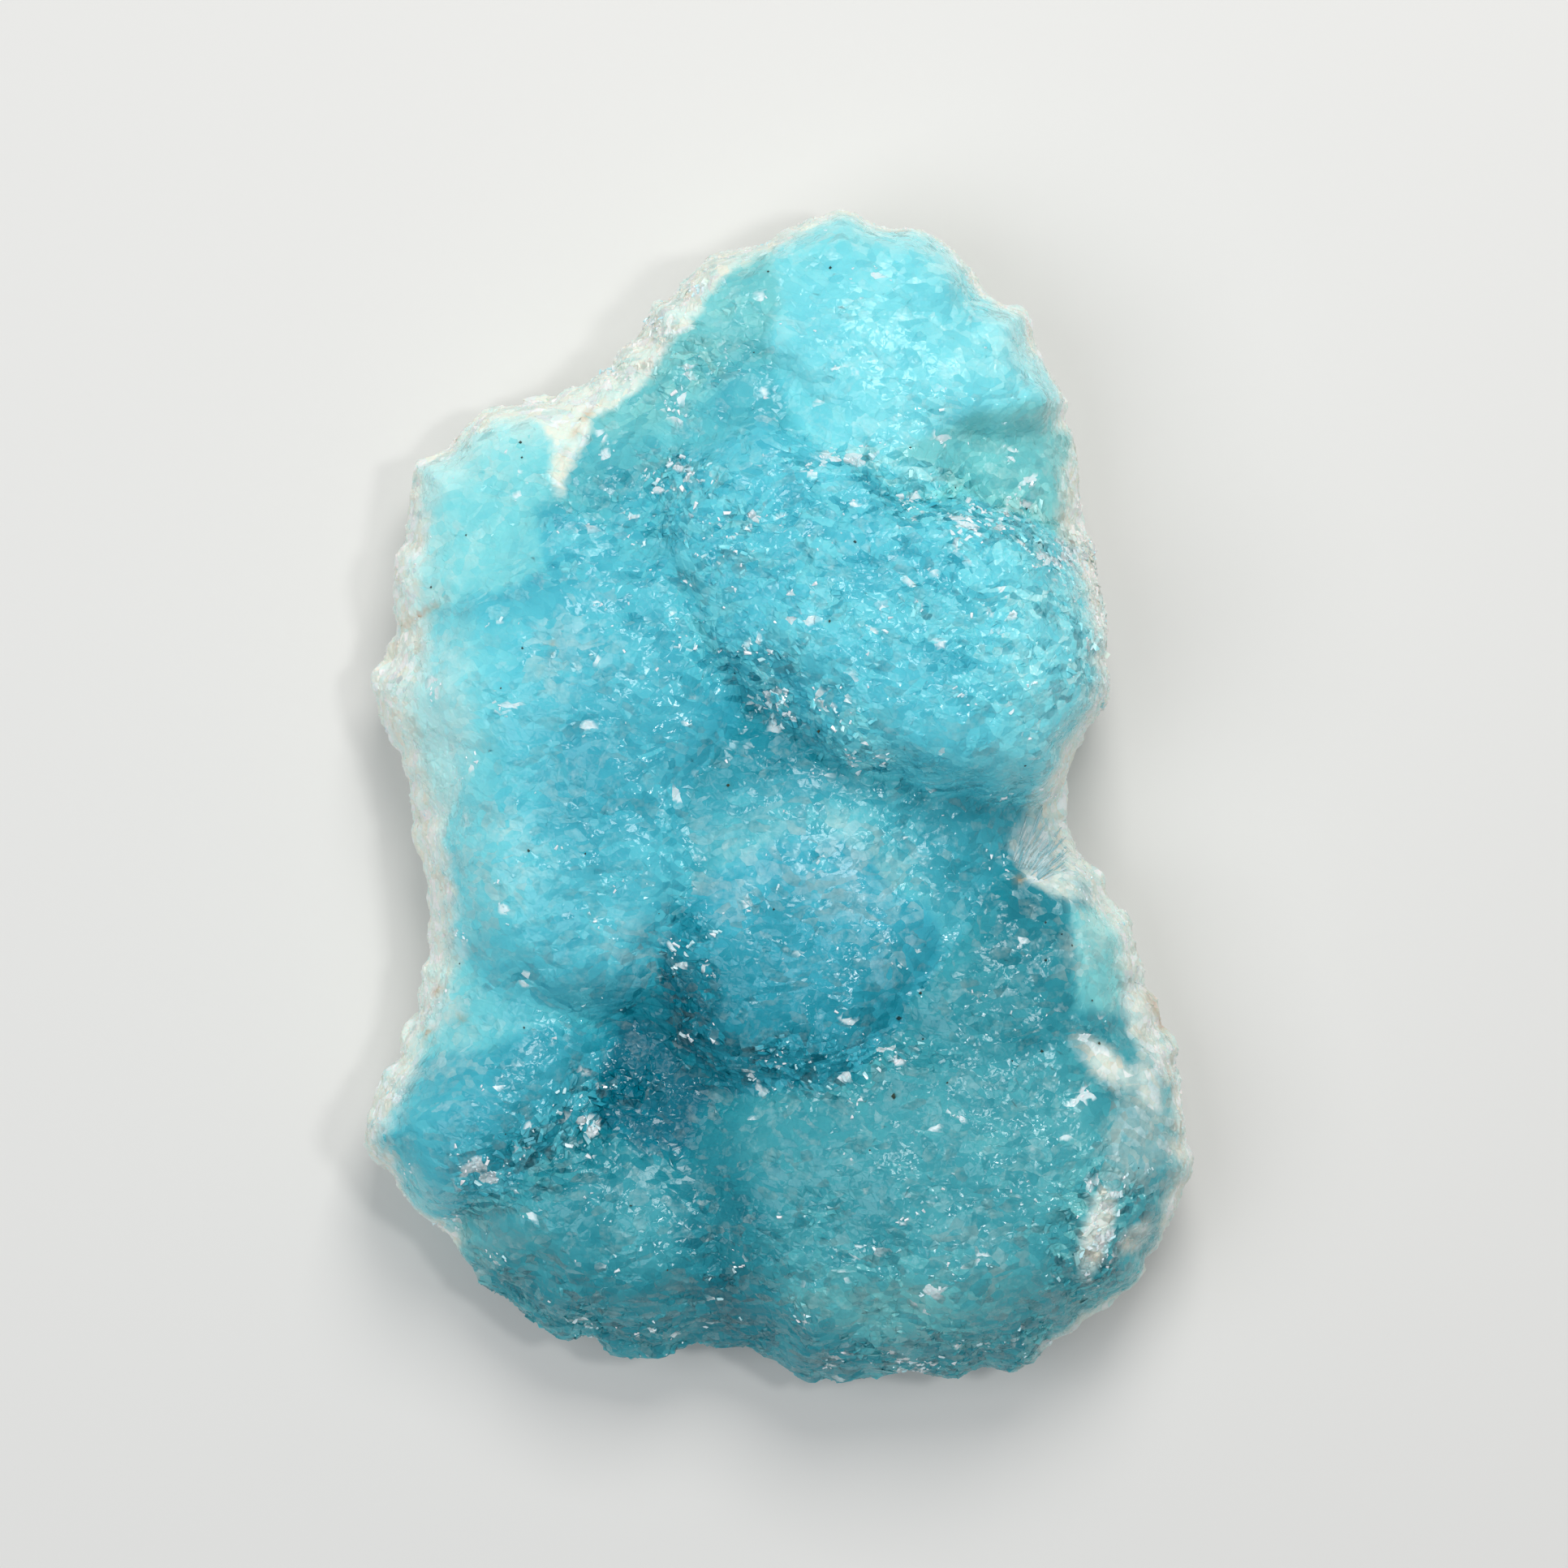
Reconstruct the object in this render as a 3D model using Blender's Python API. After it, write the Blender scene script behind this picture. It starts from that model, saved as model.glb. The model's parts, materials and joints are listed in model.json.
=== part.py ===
# Hemimorphite: a thick crust of merged rounded lobes with a drusy skin and a broken rim.
# It lies on its flat cut back, with the grown face up. Lengths are in millimetres until
# the mesh is written, which is in metres with +Z up.
import math

import bmesh
import bpy
import numpy as np
from mathutils import Vector
from mathutils.geometry import delaunay_2d_cdt
from mathutils.kdtree import KDTree

WIDTH = 55.7
LENGTH = 78.6
THICKNESS = 22.9
TRIANGLES = 9700

RIM_HEIGHT = 6.4
RIM_HEIGHT_VARIES = 1.5
BROKEN_RIM_ROUND = 2.3
GROWN_RIM_ROUND = 6.5
BACK_INSET = 3.0
BACK_INSET_VARIES = 1.1

SHOULDER_WIDTH = 8.0
SHOULDER_FALL = 3.4

OUTLINE_STEP = 0.6
FACE_STEP = 0.75
REMESH_STEP = 0.5
OUTLINE_TEETH = 0.18
LOBE_BEND = 0.45
LOBE_WAVE = 0.14
BULGE_SIZE = 3.6
BULGE_HEIGHT = 0.26
CRYSTAL_SIZE = 1.5
CRYSTAL_HEIGHT = 0.36
BREAK_SIZE = 3.2
BREAK_DEPTH = 0.9

# Rim of the plate seen from above, anticlockwise from the top of the plate.
OUTLINE = [
    (4.5, 39.2), (1.8, 38.6), (-1.5, 36.8), (-4.2, 36.0), (-5.8, 34.7), (-7.1, 33.2),
    (-8.4, 32.8), (-9.0, 31.1), (-11.7, 28.3), (-15.0, 26.7), (-17.1, 26.5), (-19.3, 25.8),
    (-20.9, 24.9), (-22.2, 23.3), (-24.0, 22.4), (-24.4, 20.7), (-25.1, 19.6), (-24.9, 17.6),
    (-25.6, 15.2), (-26.1, 9.5), (-27.0, 8.2), (-27.2, 6.9), (-25.9, 3.1), (-25.1, 1.4),
    (-24.0, -4.8), (-23.5, -6.9), (-23.7, -11.3), (-24.1, -13.4), (-25.6, -17.4),
    (-27.6, -21.6), (-27.8, -22.9), (-26.8, -24.7), (-25.6, -25.8), (-24.8, -27.5),
    (-22.4, -29.5), (-21.1, -31.3), (-19.7, -32.9), (-16.1, -35.5), (-10.5, -37.6),
    (-8.2, -37.7), (-5.9, -37.3), (-4.3, -36.5), (-3.2, -36.7), (0.1, -38.0), (1.4, -38.9),
    (4.4, -39.3), (7.1, -39.0), (12.5, -38.9), (15.2, -38.6), (17.1, -38.0), (17.8, -37.1),
    (19.4, -36.2), (23.2, -33.5), (24.8, -31.7), (26.6, -27.5), (27.7, -25.6), (27.8, -23.9),
    (27.2, -21.4), (27.1, -19.4), (26.7, -17.2), (25.1, -14.0), (24.6, -12.1), (23.3, -8.6),
    (22.2, -6.5), (19.7, -2.3), (19.3, -0.5), (19.8, 2.7), (21.8, 5.5), (22.3, 7.2),
    (21.8, 13.3), (21.1, 16.7), (20.5, 18.0), (20.8, 18.9), (20.2, 20.6), (20.0, 22.8),
    (18.8, 27.1), (18.0, 29.1), (17.1, 30.6), (16.8, 32.2), (15.6, 33.1), (14.2, 33.2),
    (12.6, 35.7), (11.3, 37.0), (7.6, 38.1), (5.8, 38.4),
]

# Each lobe: centre x and y, half length, half width, turn in degrees, height at the centre,
# how far it falls at its edge, how late it falls, slope along x and y, and how softly it
# merges with the lobes before it.
LOBES = {
    "shaded slope": (-8.4, 27.0, 14.2, 8.1, 48, 14.9, 1.2, 2.4, 0.10, 0.24, 0.84),
    "trough": (-10.2, 17.9, 6.8, 6.4, 0, 14.2, 1.2, 2.4, -0.02, 0.16, 1.05),
    "upper left lobe": (-21.6, 20.8, 8.4, 10.0, 12, 12.9, 2.6, 6.0, 0.10, -0.14, 0.35),
    "facet under shelf": (14.6, 21.1, 10.0, 5.9, 8, 15.7, 1.2, 2.4, -0.10, -0.24, 0.7),
    "left flank": (-21.5, 5.5, 8.6, 12.4, 0, 14.0, 2.8, 2.0, 0.20, 0.0, 2.1),
    "left dome": (-13.5, 6.6, 9.9, 10.2, -10, 17.6, 2.8, 3.2, 0.12, 0.06, 1.4),
    "lower left flank": (-19.4, -5.9, 6.5, 10.3, 0, 13.8, 2.6, 2.4, 0.15, 0.0, 2.1),
    "lower left dome": (-13.6, -4.6, 8.9, 9.7, -8, 17.2, 3.0, 4.4, 0.06, 0.04, 1.54),
    "hollow floor": (-8.4, -18.4, 7.4, 6.6, -40, 12.0, 1.0, 2.0, 0.0, 0.0, 1.05),
    "middle saddle": (3.6, -2.6, 10.4, 11.4, -6, 16.7, 1.8, 2.6, -0.06, -0.07, 0.7),
    "middle dome": (1.5, -9.6, 8.2, 8.7, 0, 17.5, 1.8, 4.6, 0.02, 0.0, 0.42),
    "fold": (-5.6, 13.2, 5.6, 4.8, -50, 17.2, 1.4, 2.0, 0.05, 0.0, 1.4),
    "great lobe foot": (12.4, 6.2, 9.6, 6.0, 3, 18.4, 2.2, 3.0, 0.0, 0.20, 1.12),
    "great lobe": (10.2, 10.3, 12.0, 8.3, -20, 22.4, 3.0, 5.0, 0.0, -0.03, 0.98),
    "great lobe left": (1.8, 15.3, 9.8, 7.4, -37, 20.6, 2.6, 6.0, 0.10, -0.08, 0.7),
    "great lobe neck": (-2.1, 21.7, 6.6, 7.0, 0, 16.8, 2.0, 2.0, 0.16, -0.06, 1.75),
    "shelf root": (6.4, 25.2, 5.6, 4.8, -10, 17.9, 1.4, 3.0, 0.0, -0.16, 1.12),
    "upper plane": (12.0, 33.4, 12.8, 9.8, 8, 17.0, 2.0, 8.0, 0.0, -0.20, 0.91),
    "ridge root": (-19.2, -14.8, 7.0, 5.8, 10, 13.8, 1.8, 2.2, 0.08, 0.0, 1.68),
    "diagonal ridge": (-19.8, -21.2, 9.8, 5.4, 33, 15.4, 3.2, 3.0, -0.06, 0.0, 0.84),
    "bottom left lobe": (-12.6, -29.6, 11.8, 7.9, -18, 13.8, 2.6, 2.6, 0.02, 0.06, 0.84),
    "bottom lobe": (5.0, -33.0, 10.0, 7.4, 0, 14.4, 2.8, 2.4, 0.0, 0.0, 1.12),
    "bottom right lobe": (12.6, -25.0, 15.4, 12.2, 5, 17.0, 3.2, 2.6, 0.0, 0.0, 1.12),
    "right slope": (16.2, -13.0, 9.0, 6.0, 52, 16.2, 1.6, 4.0, -0.10, 0.0, 0.49),
}


def smooth_loop(points, steps):
    """Closed curve through the points, with the given number of steps between two of them."""
    p = np.array(points, float)
    before, after, beyond = np.roll(p, 1, 0), np.roll(p, -1, 0), np.roll(p, -2, 0)
    curve = []
    for i in range(steps):
        t = i / steps
        curve.append(
            0.5
            * (
                2 * p
                + (after - before) * t
                + (2 * before - 5 * p + 4 * after - beyond) * t**2
                + (3 * p - before - 3 * after + beyond) * t**3
            )
        )
    return np.stack(curve, 1).reshape(-1, 2)


def even_loop(curve, step):
    """The closed curve again, with points at even distances."""
    ends = np.vstack([curve, curve[:1]])
    run = np.concatenate([[0], np.cumsum(np.hypot(*np.diff(ends, axis=0).T))])
    at = np.linspace(0, run[-1], int(run[-1] / step), endpoint=False)
    return np.stack([np.interp(at, run, ends[:, 0]), np.interp(at, run, ends[:, 1])], 1)


def wave(x, y, length, seed):
    """Smooth uneven waves of about the given length, between about -2 and 2."""
    random = np.random.RandomState(seed)
    total = np.zeros_like(x)
    for _ in range(7):
        turn = random.uniform(0, 2 * math.pi)
        rate = 2 * math.pi / (length * random.uniform(0.7, 1.4))
        phase = random.uniform(0, 2 * math.pi)
        along = math.cos(turn) * x + math.sin(turn) * y
        across = math.sin(turn) * x - math.cos(turn) * y
        total += np.sin(rate * along + phase + 1.3 * np.sin(0.6 * rate * across + 2 * phase))
    return total / math.sqrt(7)


def merged(a, b, softness):
    """The higher of two surfaces, with the crease between them filled over the softness."""
    share = np.clip(0.5 + 0.5 * (a - b) / softness, 0, 1)
    return b + (a - b) * share + softness * share * (1 - share)


def facets(points, size, seed):
    """Cones one size apart over a solid, each leaning its own way: about 1 on a tip."""
    random = np.random.RandomState(seed)
    low, high = points.min(0) - size, points.max(0) + size
    axes = [np.arange(a, b, size) for a, b in zip(low, high)]
    seeds = np.stack([g.ravel() for g in np.meshgrid(*axes)], 1)
    seeds += random.uniform(-0.45, 0.45, seeds.shape) * size
    leans = random.uniform(-0.5, 0.5, seeds.shape)
    tree = KDTree(len(seeds))
    for i, seed_point in enumerate(seeds):
        tree.insert(seed_point, i)
    tree.balance()
    near = np.array([[found[1] for found in tree.find_n(p, 3)] for p in points.tolist()])
    highest = np.full(len(points), -9.0)
    for column in near.T:
        away = (points - seeds[column]) / size
        cone = 1 - np.sqrt((away**2).sum(1)) + (away * leans[column]).sum(1)
        highest = np.maximum(highest, cone)
    return highest


def inward(points, loop):
    """Distance of each point from the loop, negative outside it."""
    ends = np.roll(loop, -1, 0)
    least = np.full(len(points), 1e9)
    inside = np.zeros(len(points), bool)
    for start, end in zip(loop, ends):
        side, to = end - start, points - start
        share = np.clip((to @ side) / (side @ side), 0, 1)
        least = np.minimum(least, np.hypot(*(to - share[:, None] * side).T))
        spans = (start[1] > points[:, 1]) != (end[1] > points[:, 1])
        rise = end[1] - start[1] if end[1] != start[1] else 1e-9
        crossing = start[0] + (points[:, 1] - start[1]) * side[0] / rise
        inside ^= spans & (points[:, 0] < crossing)
    return np.where(inside, least, -least)


def rim_height(x, y):
    return RIM_HEIGHT + RIM_HEIGHT_VARIES * 0.5 * wave(x, y, 13, 21) + 0.3 * wave(x, y, 4, 22)


def face_height(x, y, depth):
    """Height of the grown face. Depth is the distance in from the rim."""
    bent_x = x + LOBE_BEND * wave(x, y, 11, 1) + LOBE_WAVE * wave(x, y, 4, 2)
    bent_y = y + LOBE_BEND * wave(x, y, 11, 3) + LOBE_WAVE * wave(x, y, 4, 4)
    height = 8.5 + np.clip(depth / 14, 0, 1)
    for cx, cy, a, b, turn, top, fall, late, slope_x, slope_y, softness in LOBES.values():
        dx, dy = bent_x - cx, bent_y - cy
        cos, sin = math.cos(math.radians(turn)), math.sin(math.radians(turn))
        reach = np.hypot((dx * cos + dy * sin) / a, (dy * cos - dx * sin) / b)
        dome = top + slope_x * dx + slope_y * dy - fall * reach**late
        height = merged(dome, height, softness)
    height -= SHOULDER_FALL * (1 - np.clip(depth / SHOULDER_WIDTH, 0, 1)) ** 2
    grown = np.clip((-y - 22) / 9, 0, 1) * np.clip((24 - x) / 8, 0, 1)
    rounding = BROKEN_RIM_ROUND + (GROWN_RIM_ROUND - BROKEN_RIM_ROUND) * grown
    rounding *= 1 + 0.16 * wave(x, y, 6, 23)
    share = np.clip(depth / rounding, 0, 1)
    rim = np.minimum(rim_height(x, y), 0.62 * height)
    return rim + (height - rim) * np.sqrt(1 - (1 - share) ** 2)


def back_height(x, y, depth):
    """Height of the underside: the cut at zero, and the broken edge up to the rim."""
    inset = np.maximum(BACK_INSET + BACK_INSET_VARIES * 0.7 * wave(x, y, 12, 31), 0.8)
    share = np.clip(depth / inset, 0, 1)
    rough = 0.35 * wave(x, y, 2.6, 32) * np.sin(math.pi * share) ** 2
    return np.maximum(rim_height(x, y) * (1 - np.sqrt(1 - (1 - share) ** 2)) + rough * (share < 1), 0)


def plate_mesh():
    loop = even_loop(smooth_loop(OUTLINE, 8), OUTLINE_STEP)
    tangent = np.roll(loop, -1, 0) - np.roll(loop, 1, 0)
    tangent /= np.hypot(*tangent.T)[:, None]
    inner = np.stack([-tangent[:, 1], tangent[:, 0]], 1)
    teeth = OUTLINE_TEETH * (wave(loop[:, 0], loop[:, 1], 1.6, 41) + wave(loop[:, 0], loop[:, 1], 3.5, 42))
    loop = loop + inner * teeth[:, None]

    random = np.random.RandomState(5)
    rows = np.arange(-LENGTH / 2 - 2, LENGTH / 2 + 2, FACE_STEP * math.sqrt(3) / 2)
    columns = np.arange(-WIDTH / 2 - 2, WIDTH / 2 + 2, FACE_STEP)
    gx, gy = np.meshgrid(columns, rows)
    gx[1::2] += FACE_STEP / 2
    grid = np.stack([gx.ravel(), gy.ravel()], 1) + random.uniform(-0.24, 0.24, (gx.size, 2)) * FACE_STEP
    rings = [loop + inner * reach for reach in (0.28, 0.62)]
    ring = np.vstack(rings)
    keep = inward(ring, loop) > np.repeat([0.24, 0.55], len(loop))
    ring = ring[keep]
    depth = inward(grid, loop)
    points = np.vstack([loop, ring, grid[depth > 0.62 + 0.4 * FACE_STEP]])

    count = len(loop)
    edges = [(i, (i + 1) % count) for i in range(count)]
    laid, _, faces, *_ = delaunay_2d_cdt([Vector(p) for p in points], edges, [], 1, 1e-4)
    flat = np.array([(p.x, p.y) for p in laid])
    faces = [tuple(face) for face in faces]

    # Points on the loop belong to both sheets. All others are in each sheet once.
    depth = np.maximum(inward(flat, loop), 0)
    on_rim = depth < 1e-3
    x, y = flat.T
    top = face_height(x, y, depth)
    under = back_height(x, y, depth)
    level = rim_height(x, y)
    top = np.where(on_rim, level, np.maximum(top, level * 0.5))
    under_index = np.cumsum(~on_rim) - 1 + len(flat)
    under_index = np.where(on_rim, np.arange(len(flat)), under_index)
    corners = np.vstack([np.stack([x, y, top], 1), np.stack([x, y, under], 1)[~on_rim]])
    triangles = faces + [tuple(int(under_index[i]) for i in reversed(face)) for face in faces]
    mesh = bpy.data.meshes.new("hemimorphite")
    mesh.from_pydata((corners / 1000).tolist(), [], triangles)
    return mesh


def through(mesh, kind, **settings):
    """The mesh as one modifier leaves it."""
    holder = bpy.data.objects.new("holder", mesh)
    bpy.context.scene.collection.objects.link(holder)
    modifier = holder.modifiers.new(kind.lower(), kind)
    for name, value in settings.items():
        setattr(modifier, name, value)
    graph = bpy.context.evaluated_depsgraph_get()
    result = bpy.data.meshes.new_from_object(holder.evaluated_get(graph))
    bpy.data.objects.remove(holder)
    return result


def vectors(items, name):
    """A vector of every item, in one table."""
    table = np.empty(len(items) * 3, np.float32)
    items.foreach_get(name, table)
    return table.reshape(-1, 3).astype(float)


def roughened(mesh):
    """Raises the crystals and bulges of the skin along the surface, and breaks up the sides."""
    at = vectors(mesh.vertices, "co") * 1000
    facing = vectors(mesh.vertex_normals, "vector")
    x, y, z = at.T
    cut = (z < 0.6) & (facing[:, 2] < -0.8)
    side = np.clip(1 - np.abs(facing[:, 2]) / 0.75, 0, 1)
    broken = side * np.clip((9 - z) / 5, 0, 1)
    raised = BULGE_HEIGHT * (facets(at, BULGE_SIZE, 11) - 0.45)
    raised += CRYSTAL_HEIGHT * (facets(at, CRYSTAL_SIZE, 12) - 0.45)
    raised += BREAK_DEPTH * broken * (facets(at * (1, 1, 1.6), BREAK_SIZE, 13) - 0.6)
    raised += 0.25 * broken * wave(x + y, z * 1.8, 5, 14)
    at += facing * np.where(cut, 0, raised)[:, None]
    at[:, 2] = np.where(cut | (at[:, 2] < 0), 0, at[:, 2])
    mesh.vertices.foreach_set("co", (at / 1000).astype(np.float32).ravel())
    mesh.update()
    return mesh


def finished(mesh):
    """The mesh at its stated size with its back on the ground and its middle over the origin."""
    at = vectors(mesh.vertices, "co") * 1000
    at[:, 2] = np.where(at[:, 2] < 0.05, 0, at[:, 2])
    low, high = at.min(0), at.max(0)
    middle = (low + high) / 2 * (1, 1, 0)
    at = (at - middle) * (np.array([WIDTH, LENGTH, THICKNESS]) / (high - low))
    mesh.vertices.foreach_set("co", (at / 1000).astype(np.float32).ravel())
    shape = bmesh.new()
    shape.from_mesh(mesh)
    bmesh.ops.dissolve_degenerate(shape, dist=1e-6, edges=shape.edges)
    bmesh.ops.triangulate(shape, faces=shape.faces)
    bmesh.ops.recalc_face_normals(shape, faces=shape.faces)
    shape.to_mesh(mesh)
    shape.free()
    return mesh


def mineral_material():
    material = bpy.data.materials.new("pale blue green hemimorphite")
    material.use_nodes = True
    shader = material.node_tree.nodes["Principled BSDF"]
    shader.inputs["Base Color"].default_value = (0.10, 0.46, 0.58, 1)
    shader.inputs["Roughness"].default_value = 0.3
    shader.inputs["IOR"].default_value = 1.61
    return material


for old in list(bpy.data.objects):
    bpy.data.objects.remove(old)
even = through(plate_mesh(), "REMESH", mode="VOXEL", voxel_size=REMESH_STEP / 1000)
rough = roughened(even)
rough.calc_loop_triangles()
ratio = TRIANGLES / len(rough.loop_triangles)
plate = bpy.data.objects.new("hemimorphite", finished(through(rough, "DECIMATE", ratio=ratio)))
plate.data.name = "hemimorphite"
plate.data.materials.clear()
plate.data.materials.append(mineral_material())
bpy.context.scene.collection.objects.link(plate)
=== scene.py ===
import json
import math

import bpy
import numpy as np
from mathutils import Matrix, Vector
from mathutils.bvhtree import BVHTree
from mathutils.geometry import delaunay_2d_cdt
from mathutils.kdtree import KDTree

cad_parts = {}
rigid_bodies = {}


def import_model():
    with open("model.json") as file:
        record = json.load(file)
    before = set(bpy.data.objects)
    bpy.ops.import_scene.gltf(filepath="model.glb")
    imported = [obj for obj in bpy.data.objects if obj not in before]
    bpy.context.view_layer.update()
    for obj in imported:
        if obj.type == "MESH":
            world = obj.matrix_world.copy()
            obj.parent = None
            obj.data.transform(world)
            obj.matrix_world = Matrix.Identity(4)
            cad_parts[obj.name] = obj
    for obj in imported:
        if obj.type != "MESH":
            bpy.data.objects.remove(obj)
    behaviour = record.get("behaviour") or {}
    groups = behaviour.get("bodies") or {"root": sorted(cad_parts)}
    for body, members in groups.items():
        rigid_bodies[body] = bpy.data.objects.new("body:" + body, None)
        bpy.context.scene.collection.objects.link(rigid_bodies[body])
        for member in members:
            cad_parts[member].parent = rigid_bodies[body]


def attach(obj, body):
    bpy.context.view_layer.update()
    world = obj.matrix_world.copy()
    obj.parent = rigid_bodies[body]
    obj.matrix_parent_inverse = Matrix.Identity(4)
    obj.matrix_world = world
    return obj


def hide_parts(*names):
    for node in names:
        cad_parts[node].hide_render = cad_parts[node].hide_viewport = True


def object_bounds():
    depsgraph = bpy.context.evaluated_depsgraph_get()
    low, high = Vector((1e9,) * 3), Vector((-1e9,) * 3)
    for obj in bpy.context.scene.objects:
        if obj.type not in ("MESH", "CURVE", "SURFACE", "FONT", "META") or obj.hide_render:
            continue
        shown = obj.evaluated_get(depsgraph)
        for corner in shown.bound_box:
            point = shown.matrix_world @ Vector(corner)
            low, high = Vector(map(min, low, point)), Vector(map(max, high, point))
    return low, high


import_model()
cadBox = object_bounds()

mm = 0.001

# form of the crust, in millimetres, as in the solid
crust = dict(
    loopStep=0.4, faceStep=0.45, teeth=0.18,
    baseHeight=8.5, baseRise=14, baseTone=0.30, baseGreen=0.4,      # under the lobes
    rimHeight=6.4, rimVaries=1.5, brokenRound=2.3, grownRound=6.5,
    backInset=3.0, backVaries=1.1, shoulderWidth=8.0, shoulderFall=3.4,
    lobeBend=0.45, lobeWave=0.14, bulgeSize=3.6, bulgeHeight=0.24,
    breakSize=3.2, breakDepth=0.9, chipSize=1.3, chipDepth=0.35, join=0.7, toneJoin=0.35,
    brokenTop=9, brokenFade=5, sideSteep=0.75,
)

# where the foot is grown round its edge, not broken: from y, fade, to x, fade
grown = dict(form=(22, 9, 24, 8), pale=(29, 4, 19, 4), bare=(24, 5, 21, 5))

outline = [
    (4.5, 39.2), (1.8, 38.6), (-1.5, 36.8), (-4.2, 36.0), (-5.8, 34.7), (-7.1, 33.2),
    (-8.4, 32.8), (-9.0, 31.1), (-11.7, 28.3), (-15.0, 26.7), (-17.1, 26.5), (-19.3, 25.8),
    (-20.9, 24.9), (-22.2, 23.3), (-24.0, 22.4), (-24.4, 20.7), (-25.1, 19.6), (-24.9, 17.6),
    (-25.6, 15.2), (-26.1, 9.5), (-27.0, 8.2), (-27.2, 6.9), (-25.9, 3.1), (-25.1, 1.4),
    (-24.0, -4.8), (-23.5, -6.9), (-23.7, -11.3), (-24.1, -13.4), (-25.6, -17.4),
    (-27.6, -21.6), (-27.8, -22.9), (-26.8, -24.7), (-25.6, -25.8), (-24.8, -27.5),
    (-22.4, -29.5), (-21.1, -31.3), (-19.7, -32.9), (-16.1, -35.5), (-10.5, -37.6),
    (-8.2, -37.7), (-5.9, -37.3), (-4.3, -36.5), (-3.2, -36.7), (0.1, -38.0), (1.4, -38.9),
    (4.4, -39.3), (7.1, -39.0), (12.5, -38.9), (15.2, -38.6), (17.1, -38.0), (17.8, -37.1),
    (19.4, -36.2), (23.2, -33.5), (24.8, -31.7), (26.6, -27.5), (27.7, -25.6), (27.8, -23.9),
    (27.2, -21.4), (27.1, -19.4), (26.7, -17.2), (25.1, -14.0), (24.6, -12.1), (23.3, -8.6),
    (22.2, -6.5), (19.7, -2.3), (19.3, -0.5), (19.8, 2.7), (21.8, 5.5), (22.3, 7.2),
    (21.8, 13.3), (21.1, 16.7), (20.5, 18.0), (20.8, 18.9), (20.2, 20.6), (20.0, 22.8),
    (18.8, 27.1), (18.0, 29.1), (17.1, 30.6), (16.8, 32.2), (15.6, 33.1), (14.2, 33.2),
    (12.6, 35.7), (11.3, 37.0), (7.6, 38.1), (5.8, 38.4),
]

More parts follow.
